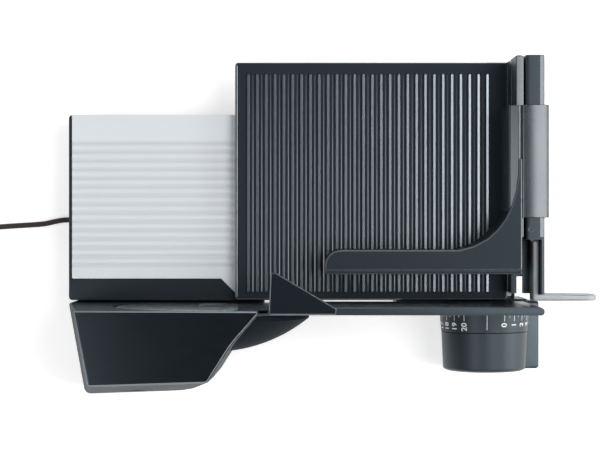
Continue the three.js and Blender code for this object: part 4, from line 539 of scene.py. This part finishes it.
def add_bmesh(name, shape, finish, smooth_angle=35, others=()):
    """A mesh with smooth faces; a face's material index counts the finish, then the others"""
    mesh = bpy.data.meshes.new(name)
    if not others:
        for face in shape.faces:
            face.material_index = 0
    shape.to_mesh(mesh)
    shape.free()
    mesh.shade_smooth()
    mesh.set_sharp_from_angle(angle=math.radians(smooth_angle))
    for each in (finish, *others):
        mesh.materials.append(FINISHES[each])
    piece = bpy.data.objects.new(name, mesh)
    bpy.context.scene.collection.objects.link(piece)
    even = piece.modifiers.new("even_normals", "WEIGHTED_NORMAL")
    even.weight = 90
    even.keep_sharp = True
    bake(piece)
    return piece


def bake(piece):
    """The piece's modifiers are applied, and its mesh is plain again"""
    graph = bpy.context.evaluated_depsgraph_get()
    mesh = bpy.data.meshes.new_from_object(piece.evaluated_get(graph))
    piece.modifiers.clear()
    piece.data, rough = mesh, piece.data
    bpy.data.meshes.remove(rough)
    mesh.name = piece.name


def seat(piece, node):
    """The piece stands for a CAD node and moves with its body"""
    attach(piece, BODY_OF[node])
    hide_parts(node)


def node_shape(node):
    """A merged copy of a CAD node's mesh, with its flat faces whole"""
    shape = bmesh.new()
    shape.from_mesh(frame["nodes"][node].data)
    bmesh.ops.remove_doubles(shape, verts=shape.verts, dist=CAD_MERGE)
    flat = math.radians(0.6)
    bmesh.ops.dissolve_limit(shape, angle_limit=flat, verts=shape.verts, edges=shape.edges)
    return shape


def round_edges(shape, radius, angle=35, segments=2, clamp=True):
    """Rounds the edges that are sharper than the angle, and gives the new faces the second
    material, the painted edge highlight
    """
    least = math.radians(angle)
    sharp = [
        e
        for e in shape.edges
        if e.is_manifold and e.calc_face_angle(0) > least and e.calc_length() > radius
    ]
    if radius and sharp:
        rounded = bmesh.ops.bevel(
            shape,
            geom=sharp,
            offset=radius,
            offset_type="OFFSET",
            segments=segments,
            profile=0.5,
            affect="EDGES",
            clamp_overlap=clamp,
        )
        # The new faces take the painted edge highlight
        for face in rounded["faces"]:
            face.material_index = 1
    bmesh.ops.triangulate(shape, faces=[f for f in shape.faces if len(f.verts) > 4])


def soften(node, finish=None, edge=None, angle=35, segments=2, clamp=True):
    """A copy of a CAD node with rounded edges, which take the finish's painted edge highlight
    where it has one, and smooth faces
    """
    shape = node_shape(node)
    round_edges(shape, sizes().edge if edge is None else edge, angle, segments, clamp)
    finish = finish or SLOT_OF[node]
    piece = add_bmesh(node + "_finish", shape, finish, angle, rubbed(finish))
    seat(piece, node)
    return piece


def slab(outline, bottom, top):
    """A flat plate with an outline in X and Y"""
    shape = bmesh.new()
    base = shape.faces.new([shape.verts.new((x, y, bottom)) for x, y in outline])
    grown = bmesh.ops.extrude_face_region(shape, geom=[base])["geom"]
    raised = [g for g in grown if isinstance(g, bmesh.types.BMVert)]
    bmesh.ops.translate(shape, verts=raised, vec=(0, 0, top - bottom))
    bmesh.ops.recalc_face_normals(shape, faces=shape.faces)
    return shape


def bar(width, length, height, round_over):
    """A rib along Y with round ends, lying on z = 0 about the origin, its top edge rounded"""
    half, steps = width / 2, 8
    outline = []
    for end, start in ((1, 0), (-1, math.pi)):
        middle_y = end * (length / 2 - half)
        for i in range(steps + 1):
            turn = start + math.pi * i / steps
            outline.append((half * math.cos(turn), middle_y + half * math.sin(turn)))
    shape = slab(outline, 0, height)
    crest = [e for e in shape.edges if all(v.co.z > height / 2 for v in e.verts)]
    bmesh.ops.bevel(
        shape,
        geom=crest,
        offset=round_over,
        segments=3,
        profile=0.5,
        affect="EDGES",
        clamp_overlap=True,
    )
    return shape


def wedge(width, length, height):
    """A fine ridge along Y, rising from near z = 0 at its left to its right edge"""
    x, y, low_edge = width / 2, length / 2, height * 0.05
    shape = slab([(-x, -y), (x, -y), (x, y), (-x, y)], 0, height)
    for vert in shape.verts:
        if vert.co.x < 0 and vert.co.z > 0:
            vert.co.z = low_edge
    return shape


def repeat_tree():
    """A tree that copies a mesh along a row, or round a ring where the turn isn't nil"""
    tree = bpy.data.node_groups.new("repeat_in_row_or_ring", "GeometryNodeTree")
    inputs = {
        name: tree.interface.new_socket(name=name, in_out="INPUT", socket_type=kind)
        for name, kind in (
            ("Shape", "NodeSocketGeometry"),
            ("Count", "NodeSocketInt"),
            ("Start", "NodeSocketVector"),
            ("Step", "NodeSocketVector"),
            ("First turn", "NodeSocketVector"),
            ("Turn", "NodeSocketVector"),
            ("Finish", "NodeSocketMaterial"),
        )
    }
    tree.interface.new_socket(name="Shape", in_out="OUTPUT", socket_type="NodeSocketGeometry")
    nodes, links = tree.nodes, tree.links
    given = nodes.new("NodeGroupInput").outputs
    row = nodes.new("GeometryNodeMeshLine")
    links.new(given["Count"], row.inputs["Count"])
    links.new(given["Start"], row.inputs["Start Location"])
    links.new(given["Step"], row.inputs["Offset"])
    scaled = nodes.new("ShaderNodeVectorMath")
    scaled.operation = "SCALE"
    links.new(given["Turn"], scaled.inputs[0])
    links.new(nodes.new("GeometryNodeInputIndex").outputs[0], scaled.inputs["Scale"])
    summed = nodes.new("ShaderNodeVectorMath")
    links.new(given["First turn"], summed.inputs[0])
    links.new(scaled.outputs[0], summed.inputs[1])
    turn = nodes.new("FunctionNodeEulerToRotation")
    links.new(summed.outputs[0], turn.inputs[0])
    copies = nodes.new("GeometryNodeInstanceOnPoints")
    links.new(row.outputs[0], copies.inputs["Points"])
    links.new(given["Shape"], copies.inputs["Instance"])
    links.new(turn.outputs[0], copies.inputs["Rotation"])
    real = nodes.new("GeometryNodeRealizeInstances")
    links.new(copies.outputs[0], real.inputs[0])
    paint = nodes.new("GeometryNodeSetMaterial")
    links.new(real.outputs[0], paint.inputs["Geometry"])
    links.new(given["Finish"], paint.inputs["Material"])
    links.new(paint.outputs[0], nodes.new("NodeGroupOutput").inputs[0])
    return tree, {name: socket.identifier for name, socket in inputs.items()}


def repeated(name, shape, finish, count, start, step=(0, 0, 0), first=(0, 0, 0), turn=(0, 0, 0)):
    """One mesh of many copies of a shape"""
    if "tree" not in REPEAT:
        REPEAT["tree"], REPEAT["keys"] = repeat_tree()
    pattern = add_bmesh(name, shape, finish)
    modifier = pattern.modifiers.new("repeat", "NODES")
    modifier.node_group = REPEAT["tree"]
    keys = REPEAT["keys"]
    modifier[keys["Count"]] = count
    modifier[keys["Start"]] = tuple(start)
    modifier[keys["Step"]] = tuple(step)
    modifier[keys["First turn"]] = tuple(first)
    modifier[keys["Turn"]] = tuple(turn)
    modifier[keys["Finish"]] = FINISHES[finish]
    bake(pattern)
    return pattern


def added(piece, body):
    """The piece is new detail that moves with a body"""
    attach(piece, body)


def revolved(profile_at, centre, steps):
    """A closed profile of (radius, depth) points, given for each turn, round a line along Y"""
    shape = bmesh.new()
    rings = []
    for i in range(steps):
        turn = 2 * math.pi * i / steps
        across, up = math.sin(turn), math.cos(turn)
        rings.append([
            (r, shape.verts.new((centre.x + r * across, y, centre.z + r * up)))
            for r, y in profile_at(turn)
        ])
    for here, there in zip(rings, rings[1:] + rings[:1]):
        for j, (radius, vert) in enumerate(here):
            k = (j + 1) % len(here)
            if radius > 0 or here[k][0] > 0:
                shape.faces.new((vert, here[k][1], there[k][1], there[j][1]))
    bmesh.ops.remove_doubles(shape, verts=shape.verts, dist=MERGE)
    bmesh.ops.recalc_face_normals(shape, faces=shape.faces)
    return shape


def cut_off(shape, point, normal):
    """Takes away what lies beyond a plane, and closes the cut"""
    bmesh.ops.bisect_plane(
        shape,
        geom=shape.verts[:] + shape.edges[:] + shape.faces[:],
        plane_co=point,
        plane_no=normal,
        clear_outer=True,
    )
    bmesh.ops.holes_fill(shape, edges=[e for e in shape.edges if e.is_boundary])
    bmesh.ops.recalc_face_normals(shape, faces=shape.faces)


def smooth_route(points, per_span=6):
    """A smooth curve through the points"""
    points = [Vector(p) for p in points]
    out = []
    for i in range(len(points) - 1):
        a, b = points[max(i - 1, 0)], points[i]
        c, d = points[i + 1], points[min(i + 2, len(points) - 1)]
        for j in range(per_span):
            t = j / per_span
            bend = (2 * a - 5 * b + 4 * c - d) * t * t + (3 * b - a - 3 * c + d) * t ** 3
            out.append(0.5 * (2 * b + (c - a) * t + bend))
    return out + [points[-1]]


def coil_route():
    """The coil, wound inwards on the table, then outwards one lead's thickness higher"""
    points = []
    steps = round(COIL_TURNS * COIL_STEPS)
    climb_turns = 0.5
    for i in range(1, steps + 1):
        turn = COIL_TURNS * i / steps
        radius = COIL_RADIUS - COIL_PITCH * min(turn, COIL_TURNS - turn)
        climb = min(max((turn - COIL_TURNS / 2) / climb_turns + 0.5, 0), 1)
        climb = climb * climb * (3 - 2 * climb)
        angle = math.pi / 2 + 2 * math.pi * turn
        points.append(COIL_CENTRE + Vector(
            (radius * math.cos(angle), radius * math.sin(angle), COIL_PITCH * climb)
        ))
    return points


class SLICER_OT_stage(Operator):
    """Camera, floor and studio light"""

    bl_idname = "slicer.stage"
    bl_label = "Stage"

    def execute(self, context):
        scene = context.scene
        scene.view_settings.view_transform = "Standard"
        camera = bpy.data.cameras.new("camera")
        camera.lens = CAMERA_LENS
        camera.sensor_width = 36
        camera.clip_end = 20
        eye = bpy.data.objects.new("camera", camera)
        eye.location = (VIEW_CENTRE.x, VIEW_CENTRE.y, CAMERA_HEIGHT)
        scene.collection.objects.link(eye)
        scene.camera = eye
        self.floor(scene)
        self.lights(scene)
        self.world(scene)
        return {"FINISHED"}

    def floor(self, scene):
        shape = bmesh.new()
        bmesh.ops.create_grid(shape, x_segments=2, y_segments=2, size=FLOOR_HALF)
        mesh = bpy.data.meshes.new("floor")
        shape.to_mesh(mesh)
        shape.free()
        floor = bpy.data.objects.new("floor", mesh)
        floor.location.z = -FLOOR_GAP
        scene.collection.objects.link(floor)
        finish = Finish("pale_floor")
        finish.set(Base_Color=(0.86, 0.86, 0.86, 1), Roughness=0.9, Specular_IOR_Level=0.1)
        path = finish.add("ShaderNodeLightPath").outputs
        seen = finish.math("MAXIMUM", path["Is Camera Ray"], path["Is Transmission Ray"])
        seen = finish.math("MAXIMUM", seen, path["Is Glossy Ray"])
        reach = finish.add("ShaderNodeVectorMath", operation="LENGTH")
        finish.put(finish.place, reach.inputs[0])
        glow = finish.spread(reach.outputs["Value"], *FLOOR_GLOW)
        strength = finish.math("MULTIPLY", seen, glow)
        finish.set(Emission_Color=(1, 1, 1, 1), Emission_Strength=strength)
        mesh.materials.append(finish.material)

    def lights(self, scene):
        for name, place, target, level, size in LAMPS:
            data = bpy.data.lights.new(name, "AREA")
            data.size = size
            data.energy = level * math.pi * size ** 2
            lamp = bpy.data.objects.new(name, data)
            lamp.location = place
            aim = Vector(target) - Vector(place)
            lamp.rotation_euler = aim.to_track_quat("-Z", "Y").to_euler()
            scene.collection.objects.link(lamp)

    def world(self, scene):
        """A white backdrop all round, which reflections see fade to a dark ceiling"""
        world = bpy.data.worlds.new("studio")
        world.use_nodes = True
        scene.world = world
        nodes, links = world.node_tree.nodes, world.node_tree.links
        ground = nodes["Background"]
        ground.inputs["Color"].default_value = (1, 1, 1, 1)
        path = nodes.new("ShaderNodeLightPath").outputs
        way = nodes.new("ShaderNodeSeparateXYZ")
        links.new(nodes.new("ShaderNodeTexCoord").outputs["Generated"], way.inputs[0])
        wall = self.fade(nodes, links, way.outputs["X"], WALL_FADE)
        ceiling = self.fade(nodes, links, way.outputs["Z"], CEILING_FADE)
        above = self.choose(nodes, links, ceiling, wall, CEILING_LEVEL)
        mirrored = self.choose(nodes, links, path["Is Glossy Ray"], FILL_LEVEL, above)
        seen = nodes.new("ShaderNodeMath")
        seen.operation = "MAXIMUM"
        links.new(path["Is Camera Ray"], seen.inputs[0])
        links.new(path["Is Transmission Ray"], seen.inputs[1])
        strength = self.choose(nodes, links, seen.outputs[0], mirrored, 1.0)
        links.new(strength, ground.inputs["Strength"])

    def fade(self, nodes, links, value, numbers):
        fade = nodes.new("ShaderNodeMapRange")
        links.new(value, fade.inputs["Value"])
        for key, number in zip(RANGE, numbers):
            fade.inputs[key].default_value = number
        return fade.outputs["Result"]

    def choose(self, nodes, links, factor, no, yes):
        mix = nodes.new("ShaderNodeMix")
        for key, value in zip((0, 2, 3), (factor, no, yes)):
            if isinstance(value, bpy.types.NodeSocket):
                links.new(value, mix.inputs[key])
            else:
                mix.inputs[key].default_value = value
        return mix.outputs[0]


class SLICER_OT_lead(Operator):
    """Mains lead with its strain relief, coil, tie and plug"""

    bl_idname = "slicer.lead"
    bl_label = "Mains lead"

    def execute(self, context):
        points = smooth_route(LEAD_ROUTE) + coil_route() + smooth_route(TAIL_ROUTE)
        curve = bpy.data.curves.new("mains_lead", "CURVE")
        curve.dimensions = "3D"
        curve.bevel_depth = sizes().cord / 2
        curve.bevel_resolution = 3
        curve.use_fill_caps = True
        spline = curve.splines.new("POLY")
        spline.points.add(len(points) - 1)
        for knot, p in zip(spline.points, points):
            knot.co = (*p, 1)
        curve.materials.append(FINISHES["cord_rubber"])
        lead = bpy.data.objects.new("mains_lead", curve)
        context.scene.collection.objects.link(lead)
        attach(lead, BODY_OF["cord_lead"])
        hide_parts("cord_lead", "cord_coil", "cord_tail")
        plug = soften("cord_plug", edge=0.0004)
        plug.data.materials.append(FINISHES["steel"])
        for face in plug.data.polygons:
            if face.center.y < low("cord_plug").y + PIN_LENGTH:
                face.material_index = 1
        tie = soften("cord_tie", edge=0.0001)
        soften("strain_relief", edge=0.0002)
        return {"FINISHED"}


class SLICER_OT_base(Operator):
    """Base shell, cover plate, rail and feet"""

    bl_idname = "slicer.base"
    bl_label = "Base"

    def execute(self, context):
        shell = soften("base_shell", edge=0.0004, clamp=False)
        shell.data.materials.append(FINISHES["toe_satin"])
        for face in shell.data.polygons:
            if face.center.x > TOE_CORNER.x and face.center.y < TOE_CORNER.y:
                face.material_index = 2
        soften("base_cover_plate", edge=0.0003, angle=42)
        soften("bottom_plate", edge=0.0003)
        for node in ("guide_rail", "guide_bush_left", "guide_bush_right", "cam_post"):
            soften(node, edge=0.0002)
        for node in BODY_OF:
            if node.startswith(("foot_", "bottom_plate_screw", "tower_screw")):
                soften(node, edge=0.0002)
        return {"FINISHED"}


class SLICER_OT_tower(Operator):
    """Motor tower with its panel, domed blade cover, switch and drive"""

    bl_idname = "slicer.tower"
    bl_label = "Motor tower"

    def execute(self, context):
        soften("tower_shell", "grey_matt")
        panel = soften("tower_top_panel", edge=0.0007, clamp=False)
        # The edges that face right keep the panel's own finish; the others get the painted edge
        # highlight
        right_facing = 0.3
        for face in panel.data.polygons:
            if face.normal.x > right_facing:
                face.material_index = 0
        self.dome()
        for node in ("gear_housing_plate", "front_bush", "gear_frame", "motor_can", "switch_body",
                     "frame_screw_1", "frame_screw_2", "worm_shaft", "on_off_button"):
            soften(node, edge=0.0002)
        self.spring()
        return {"FINISHED"}

    def spring(self):
        """The button's spring, which is pressed together against the switch"""
        spring = soften("button_spring", edge=0.0)
        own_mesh(spring)

    def dome(self):
        """A shallow ball cap, cut off inside the tower's right wall"""
        front = high("blade_back_cover").y
        radius = high("blade_back_cover").x - BLADE.x
        lip, sag, wall = 0.004, 0.03, 0.0025
        rim, inside = front - lip, radius - wall
        outer = [(radius, front), (radius, rim)] + self.cap(radius, rim, sag)
        inner = [(inside, front), (inside, rim)] + self.cap(inside, rim, sag - wall)
        profile = outer + inner[::-1]
        shape = revolved(lambda turn: profile, BLADE, TURNED_STEPS)
        self.trim(shape)
        seat(add_bmesh("blade_dome", shape, "dome_black", smooth_angle=40), "blade_back_cover")

    def cap(self, edge, rim, sag, steps=24):
        ball = (edge ** 2 + sag ** 2) / (2 * sag)
        turns = [math.asin(edge / ball) * (1 - i / steps) for i in range(1, steps + 1)]
        return [(ball * math.sin(t), rim - ball * math.cos(t) + ball - sag) for t in turns]

    def trim(self, shape):
        """Takes away the part of the dome that the tower hides"""
        wall, overlap = 0.0025, 0.003
        nose = at(-4, -70, 0)
        along = nose - Vector((high("tower_shell").x - wall, ORIGIN.y, 0))
        away = Vector((along.y, -along.x, 0)).normalized()
        cut_off(shape, nose + away * overlap, away)


class SLICER_OT_blade(Operator):
    """Blade with a waved edge, its lock, shaft and gear"""

    bl_idname = "slicer.blade"
    bl_label = "Blade"

    def execute(self, context):
        face = high("blade").y
        thick = face - low("blade").y
        radius = high("blade").z - BLADE.z
        teeth = sizes().teeth
        bore, bevel, back_bevel, lip, wave = 0.0063, 0.007, 0.01, 0.0006, 0.0011

        def section(turn):
            edge = radius - wave * (0.5 - 0.5 * math.cos(turn * teeth))
            return (
                (bore, face),
                (radius - bevel, face),
                (edge - lip, face - thick * 0.22),
                (edge, face - thick * 0.3),
                (edge - lip, face - thick * 0.38),
                (radius - back_bevel, face - thick),
                (bore, face - thick),
            )

        shape = revolved(section, BLADE, teeth * 10)
        seat(add_bmesh("blade_disc", shape, "blade_steel", smooth_angle=12), "blade")
        for node in ("blade_lock", "blade_shaft", "drive_gear"):
            soften(node, edge=0.0002)
        return {"FINISHED"}


class SLICER_OT_stop_plate(Operator):
    """Stop plate with its finger guard, carrier and guide bars"""

    bl_idname = "slicer.stop_plate"
    bl_label = "Stop plate"

    def execute(self, context):
        soften("stop_plate", "slate_gloss", edge=0.0007, clamp=False)
        self.guard()
        for node in ("plate_carrier", "guide_bar_left", "guide_bar_right"):
            soften(node, edge=0.0003)
        return {"FINISHED"}

    def guard(self):
        """The wing, with a broader rounded edge, painted lighter as a highlight, in place of the
        CAD node's small chamfer
        """
        bottom, top = low("finger_guard").z, high("finger_guard").z
        chamfer, nearest = 0.0003, 0.0015
        rim = {
            (round(v.co.x, 6), round(v.co.y, 6))
            for v in frame["nodes"]["finger_guard"].data.vertices
            if bottom + chamfer < v.co.z < top - chamfer
        }
        x, y = (sum(c) / len(rim) for c in zip(*rim))
        outline = []
        for point in sorted(rim, key=lambda p: math.atan2(p[1] - y, p[0] - x)):
            if all(math.dist(point, kept) > nearest for kept in outline):
                outline.append(point)
        shape = slab(outline, bottom, top)
        round_edges(shape, radius=0.0009, angle=20, clamp=False)
        wing = add_bmesh("finger_guard_finish", shape, "slate_dark", others=rubbed("slate_dark"))
        seat(wing, "finger_guard")


class SLICER_OT_knob(Operator):
    """Thickness knob with its printed scale"""

    bl_idname = "slicer.knob"
    bl_label = "Thickness knob"

    def execute(self, context):
        self.grip()
        self.ring()
        self.ticks()
        self.numbers()
        soften("cam_pin", edge=0.0001)
        soften("knob_retainer", edge=0.0001)
        return {"FINISHED"}

    def turned(self, name, profile, node):
        """A profile in millimetres from the knob's axis and the cutting face, turned"""
        profile = [(r * MM, ORIGIN.y + y * MM) for r, y in profile]
        shape = revolved(lambda turn: profile, KNOB, TURNED_STEPS)
        seat(add_bmesh(name, shape, "knob_satin", smooth_angle=40), node)

    def grip(self):
        end = -62.3
        dome = [
            (37.4 * t, end + 0.4 * t + 1.5 * t ** 6)
            for t in (0, 0.15, 0.3, 0.45, 0.6, 0.72, 0.82, 0.9)
        ]
        corner = [
            (34.6 + 2.75 * math.sin(a), end + 4.4 - 2.7 * math.cos(a))
            for a in (math.pi * i / 16 for i in range(1, 9))
        ]
        profile = dome + corner + [
            (38.75, -26.6),
            (38.65, -26.2),
            (38.3, -26),
            (35.8, -26),
            (34.4, -55.3),
            (13, -55.3),
            (13, -32.1),
            (9.3, -32.1),
            (9.3, -55.3),
            (0, -55.3),
        ]
        self.turned("knob_grip_turned", profile, "knob_grip")

    def ring(self):
        profile = [
            (13.2, -9),
            (39.5, -9),
            (39.9, -9.1),
            (40.1, -9.5),
            (39.15, -25.2),
            (38.95, -25.6),
            (38.6, -25.7),
            (35.5, -25.7),
            (35.5, -31.7),
            (32.5, -31.7),
            (32.5, -12),
            (13.2, -12),
        ]
        self.turned("knob_ring_turned", profile, "knob_scale_ring")

    def radius(self, depth):
        """The tapered ring's radius at a depth from the cutting face"""
        widest, widest_depth, taper = 0.0401, -0.0095, 0.0605
        return widest + taper * (depth - widest_depth)

    def stroke(self, width, back, front):
        """A printed line on top of the ring, about the knob's axis"""
        proud, sunk = 0.00006, 0.00008
        shape = bmesh.new()
        bmesh.ops.create_cube(shape, size=1)
        for vert in shape.verts:
            depth = (back if vert.co.y > 0 else front) * MM
            vert.co.x *= width
            vert.co.y = ORIGIN.y + depth
            vert.co.z = self.radius(depth) + (proud if vert.co.z > 0 else -sunk)
        return shape

    def ticks(self):
        axis = (KNOB.x, 0, KNOB.z)
        first, pitch, width = sizes().first_mark, sizes().mark_pitch, sizes().tick
        half = first + pitch / 2
        for name, shape, count, start, turn in (
            ("scale_marks", self.stroke(width, -9.8, -15.2), MARKS, first, pitch),
            ("scale_half_marks", self.stroke(width * 0.7, -9.8, -12), MARKS - 1, half, pitch),
            ("scale_index", self.stroke(width, -9.8, -22.8), 1, INDEX_ANGLE, 0.0),
        ):
            marks = repeated(
                name, shape, "ink", count, axis, first=(0, start, 0), turn=(0, turn, 0)
            )
            added(marks, "knob")

    def numbers(self):
        """The numbers, laid round the ring and read from the knob's right"""
        shape = bmesh.new()
        for number in range(MARKS):
            mesh = self.digits(number)
            bearing = sizes().first_mark + sizes().mark_pitch * number
            start = len(shape.verts)
            shape.from_mesh(mesh)
            shape.verts.ensure_lookup_table()
            for vert in shape.verts[start:]:
                along, up, out = vert.co
                depth = along - NUMBER_DEPTH
                turn = bearing - up / self.radius(depth)
                reach = self.radius(depth) + out
                vert.co = (
                    KNOB.x + reach * math.sin(turn),
                    ORIGIN.y + depth,
                    KNOB.z + reach * math.cos(turn),
                )
            bpy.data.meshes.remove(mesh)
        bmesh.ops.remove_doubles(shape, verts=shape.verts, dist=MERGE)
        bmesh.ops.recalc_face_normals(shape, faces=shape.faces)
        added(add_bmesh("scale_numbers", shape, "ink"), "knob")

    def digits(self, number):
        text = bpy.data.curves.new("number", "FONT")
        text.body = str(number)
        text.size = sizes().digit
        text.extrude = 0.0001
        text.offset = 0.00014
        text.align_x = "RIGHT"
        text.align_y = "CENTER"
        text.resolution_u = 4
        letters = bpy.data.objects.new("number", text)
        bpy.context.scene.collection.objects.link(letters)
        graph = bpy.context.evaluated_depsgraph_get()
        mesh = bpy.data.meshes.new_from_object(letters.evaluated_get(graph))
        bpy.data.objects.remove(letters)
        bpy.data.curves.remove(text)
        return mesh


class SLICER_OT_carriage(Operator):
    """Sliding carriage with its ribbed plate, wall, thumb guard and runner"""

    bl_idname = "slicer.carriage"
    bl_label = "Carriage"

    def execute(self, context):
        self.plate()
        self.ribs()
        self.wall()
        # The thumb guard's light grey is a painted sheen
        soften("thumb_guard", "guard_satin", edge=0.0009, segments=3, clamp=False)
        soften("carriage_runner")
        soften("front_glide", edge=0.0003)
        return {"FINISHED"}

    def plate(self):
        """The CAD plate, cut flush where the ribs stand"""
        shape = node_shape("carriage_plate")
        cut_off(shape, (0, 0, PLATE_TOP - HAIR), (0, 0, 1))
        for vert in shape.verts:
            if vert.co.z > PLATE_TOP - 2 * HAIR:
                vert.co.z = PLATE_TOP
        round_edges(shape, radius=0.0009, segments=3, clamp=False)
        # The plate's rounded edges take the painted edge highlight
        plate = add_bmesh("carriage_plate_slab", shape, "slate_matt", others=rubbed("slate_matt"))
        seat(plate, "carriage_plate")

    def ribs(self):
        """The ribs with light metallic tops painted as highlights, the fine ridges between them,
        and the left rim, painted the same
        """
        corner, far = low("carriage_plate"), high("carriage_plate")
        front_margin, back_margin, sunk = 0.0063, 0.01, 0.0004
        front, back = corner.y + front_margin, far.y - back_margin
        length = back - front
        root = PLATE_TOP - sunk
        height = far.z - root
        start = Vector((at(FIRST_RIB, 0, 0).x, (front + back) / 2, root))
        rib = bar(sizes().rib, length, height, round_over=0.0007)
        self.row("carriage_ribs", rib, "slate_plastic", RIB_COUNT, start, "slate_plastic")
        # Painted highlight: a light metallic cap along the top of each rib
        shorter, cap_sunk = 0.0012, 0.0002
        cap = bar(sizes().rib_top, length - shorter, height=0.0003, round_over=0.0001)
        place = start + Vector((0, 0, height - cap_sunk))
        self.row("carriage_rib_caps", cap, "rib_polish", RIB_COUNT, place, "steel")
        shorter = 0.002
        ridge = wedge(sizes().ridge, length - shorter, height=0.00022)
        place = Vector((start.x + RIB_PITCH / 2, start.y, PLATE_TOP - HAIR))
        gaps = RIB_COUNT - 1
        self.row("carriage_fine_ridges", ridge, "ridge_gloss", gaps, place, "slate_plastic")
        # The left rim: a raised bar in the same painted highlight
        shorter, inset = 0.004, 0.0015
        length = far.y - corner.y - shorter
        rim = bar(width=0.0022, length=length, height=0.0018, round_over=0.0006)
        place = (corner.x + inset, middle("carriage_plate").y, root)
        bmesh.ops.translate(rim, verts=rim.verts, vec=place)
        added(add_bmesh("carriage_rim", rim, "rib_polish"), "carriage")

    def row(self, name, shape, finish, count, start, slot):
        """Copies of a shape in step with the ribs"""
        copies = repeated(name, shape, finish, count, start, (RIB_PITCH, 0, 0))
        added(copies, "carriage")

    def wall(self):
        """The wall, with glossy strips on its ridge, the food's side and the rail's outer edge,
        laid there as painted highlights
        """
        soften("carriage_wall", "grey_plastic", edge=0.0004, clamp=False)
        outward_fall = 0.0005
        # Painted highlights: glossy strips where the ridge and the rail's edge catch the light;
        # the two on the food's side stand in for reflections
        # Name, and where it starts and ends across, up and along, in millimetres
        for name, x, z, y in (
            ("wall_ridge_cap", (263.9, 270.2), (140.4, 141.2), (60, 217.6)),
            ("wall_strip_low", (262.9, 263.75), (81, 85.6), (12, 217.6)),
            ("wall_strip_high", (263.3, 264.6), (101, 110), (60, 217.6)),
            ("rail_edge_strip", (283.6, 287.2), (145.6, 146.15), (60, 217.6)),
        ):
            shape = bmesh.new()
            bmesh.ops.create_cube(shape, size=1)
            ends = at(x[0], y[0], z[0]), at(x[1], y[1], z[1])
            for vert in shape.verts:
                vert.co = [ends[c > 0][i] for i, c in enumerate(vert.co)]
                if name == "rail_edge_strip" and vert.co.x > ends[0].x + MM:
                    vert.co.z -= outward_fall
            round_edges(shape, radius=min(0.0004, (x[1] - x[0]) * MM / 3))
            added(add_bmesh(name, shape, "saddle_satin"), "carriage")


class SLICER_OT_pusher(Operator):
    """Food pusher with its saddle and spike plate"""

    bl_idname = "slicer.pusher"
    bl_label = "Pusher"

    def execute(self, context):
        soften("pusher_body", edge=0.0009, segments=3, clamp=False)
        self.saddle()
        soften("spike_plate", edge=0.0002)
        return {"FINISHED"}

    def saddle(self):
        """The saddle over the rail, its roof crowned towards the outer side"""
        quarter = [math.pi * i / 12 for i in range(1, 7)]
        tenths = [i / 10 for i in range(11)]
        inside = [
            (256.8, 86),
            (263.2, 86),
            (263.2, 141.4),
            (271.2, 141.4),
            (271.2, 146.4),
            (286.8, 146.4),
            (288.1, 145.9),
            (288.5, 144.8),
            (288.5, 104),
            (291.5, 104),
        ]
        outer = [(291.5 - 2.3 * (1 - math.sin(a)), 146.2 + 2.3 * math.cos(a)) for a in quarter]
        roof = [(289.2 - 19.4 * (1 - t), 149.35 - 2.95 * (t - 0.5) ** 2) for t in tenths]
        groove = [(268.7, 148.4), (268.2, 147.8), (267.8, 143.2), (265.6, 143.2)]
        shoulder = [(265.4, 144.4), (259.6, 142.5)]
        shoulder += [(259.6 - 2.8 * math.sin(a), 138.6 + 3.9 * math.cos(a)) for a in quarter]
        profile = inside + outer[::-1] + roof[::-1] + groove + shoulder
        front, back = 77, 174.5
        shape = bmesh.new()
        ends = [[shape.verts.new(at(x, y, z)) for x, z in profile] for y in (front, back)]
        count = len(profile)
        for i in range(count):
            j = (i + 1) % count
            shape.faces.new((ends[0][i], ends[0][j], ends[1][j], ends[1][i]))
        shape.faces.new(ends[0])
        shape.faces.new(ends[1][::-1])
        bmesh.ops.recalc_face_normals(shape, faces=shape.faces)
        round_edges(shape, radius=0.0004, angle=50)
        saddle = add_bmesh("pusher_saddle_crowned", shape, "saddle_satin", smooth_angle=40)
        seat(saddle, "pusher_saddle")


class SLICER_PT_panel(Panel):
    """Builds the slicer's pieces"""

    bl_idname = "SLICER_PT_panel"
    bl_label = "Food slicer"
    bl_space_type = "VIEW_3D"
    bl_region_type = "UI"
    bl_category = "Slicer"

    def draw(self, context):
        for operator in OPERATORS:
            self.layout.operator(operator.bl_idname)
        for group in (context.scene.slicer_sizes, context.scene.slicer_colours):
            for name in group.__annotations__:
                self.layout.prop(group, name)


OPERATORS = (
    SLICER_OT_stage,
    SLICER_OT_lead,
    SLICER_OT_base,
    SLICER_OT_tower,
    SLICER_OT_blade,
    SLICER_OT_stop_plate,
    SLICER_OT_knob,
    SLICER_OT_carriage,
    SLICER_OT_pusher,
)
CLASSES = (SlicerSizes, SlicerColours, *OPERATORS, SLICER_PT_panel)


def register():
    for cls in CLASSES:
        bpy.utils.register_class(cls)
    bpy.types.Scene.slicer_sizes = PointerProperty(type=SlicerSizes)
    bpy.types.Scene.slicer_colours = PointerProperty(type=SlicerColours)


def unregister():
    del bpy.types.Scene.slicer_sizes
    del bpy.types.Scene.slicer_colours
    for cls in reversed(CLASSES):
        bpy.utils.unregister_class(cls)


def main():
    register()
    make_finishes()
    bpy.ops.slicer.stage()
    bpy.ops.slicer.lead()
    bpy.ops.slicer.base()
    bpy.ops.slicer.tower()
    bpy.ops.slicer.blade()
    bpy.ops.slicer.stop_plate()
    bpy.ops.slicer.knob()
    bpy.ops.slicer.carriage()
    bpy.ops.slicer.pusher()


if __name__ == "__main__":
    main()
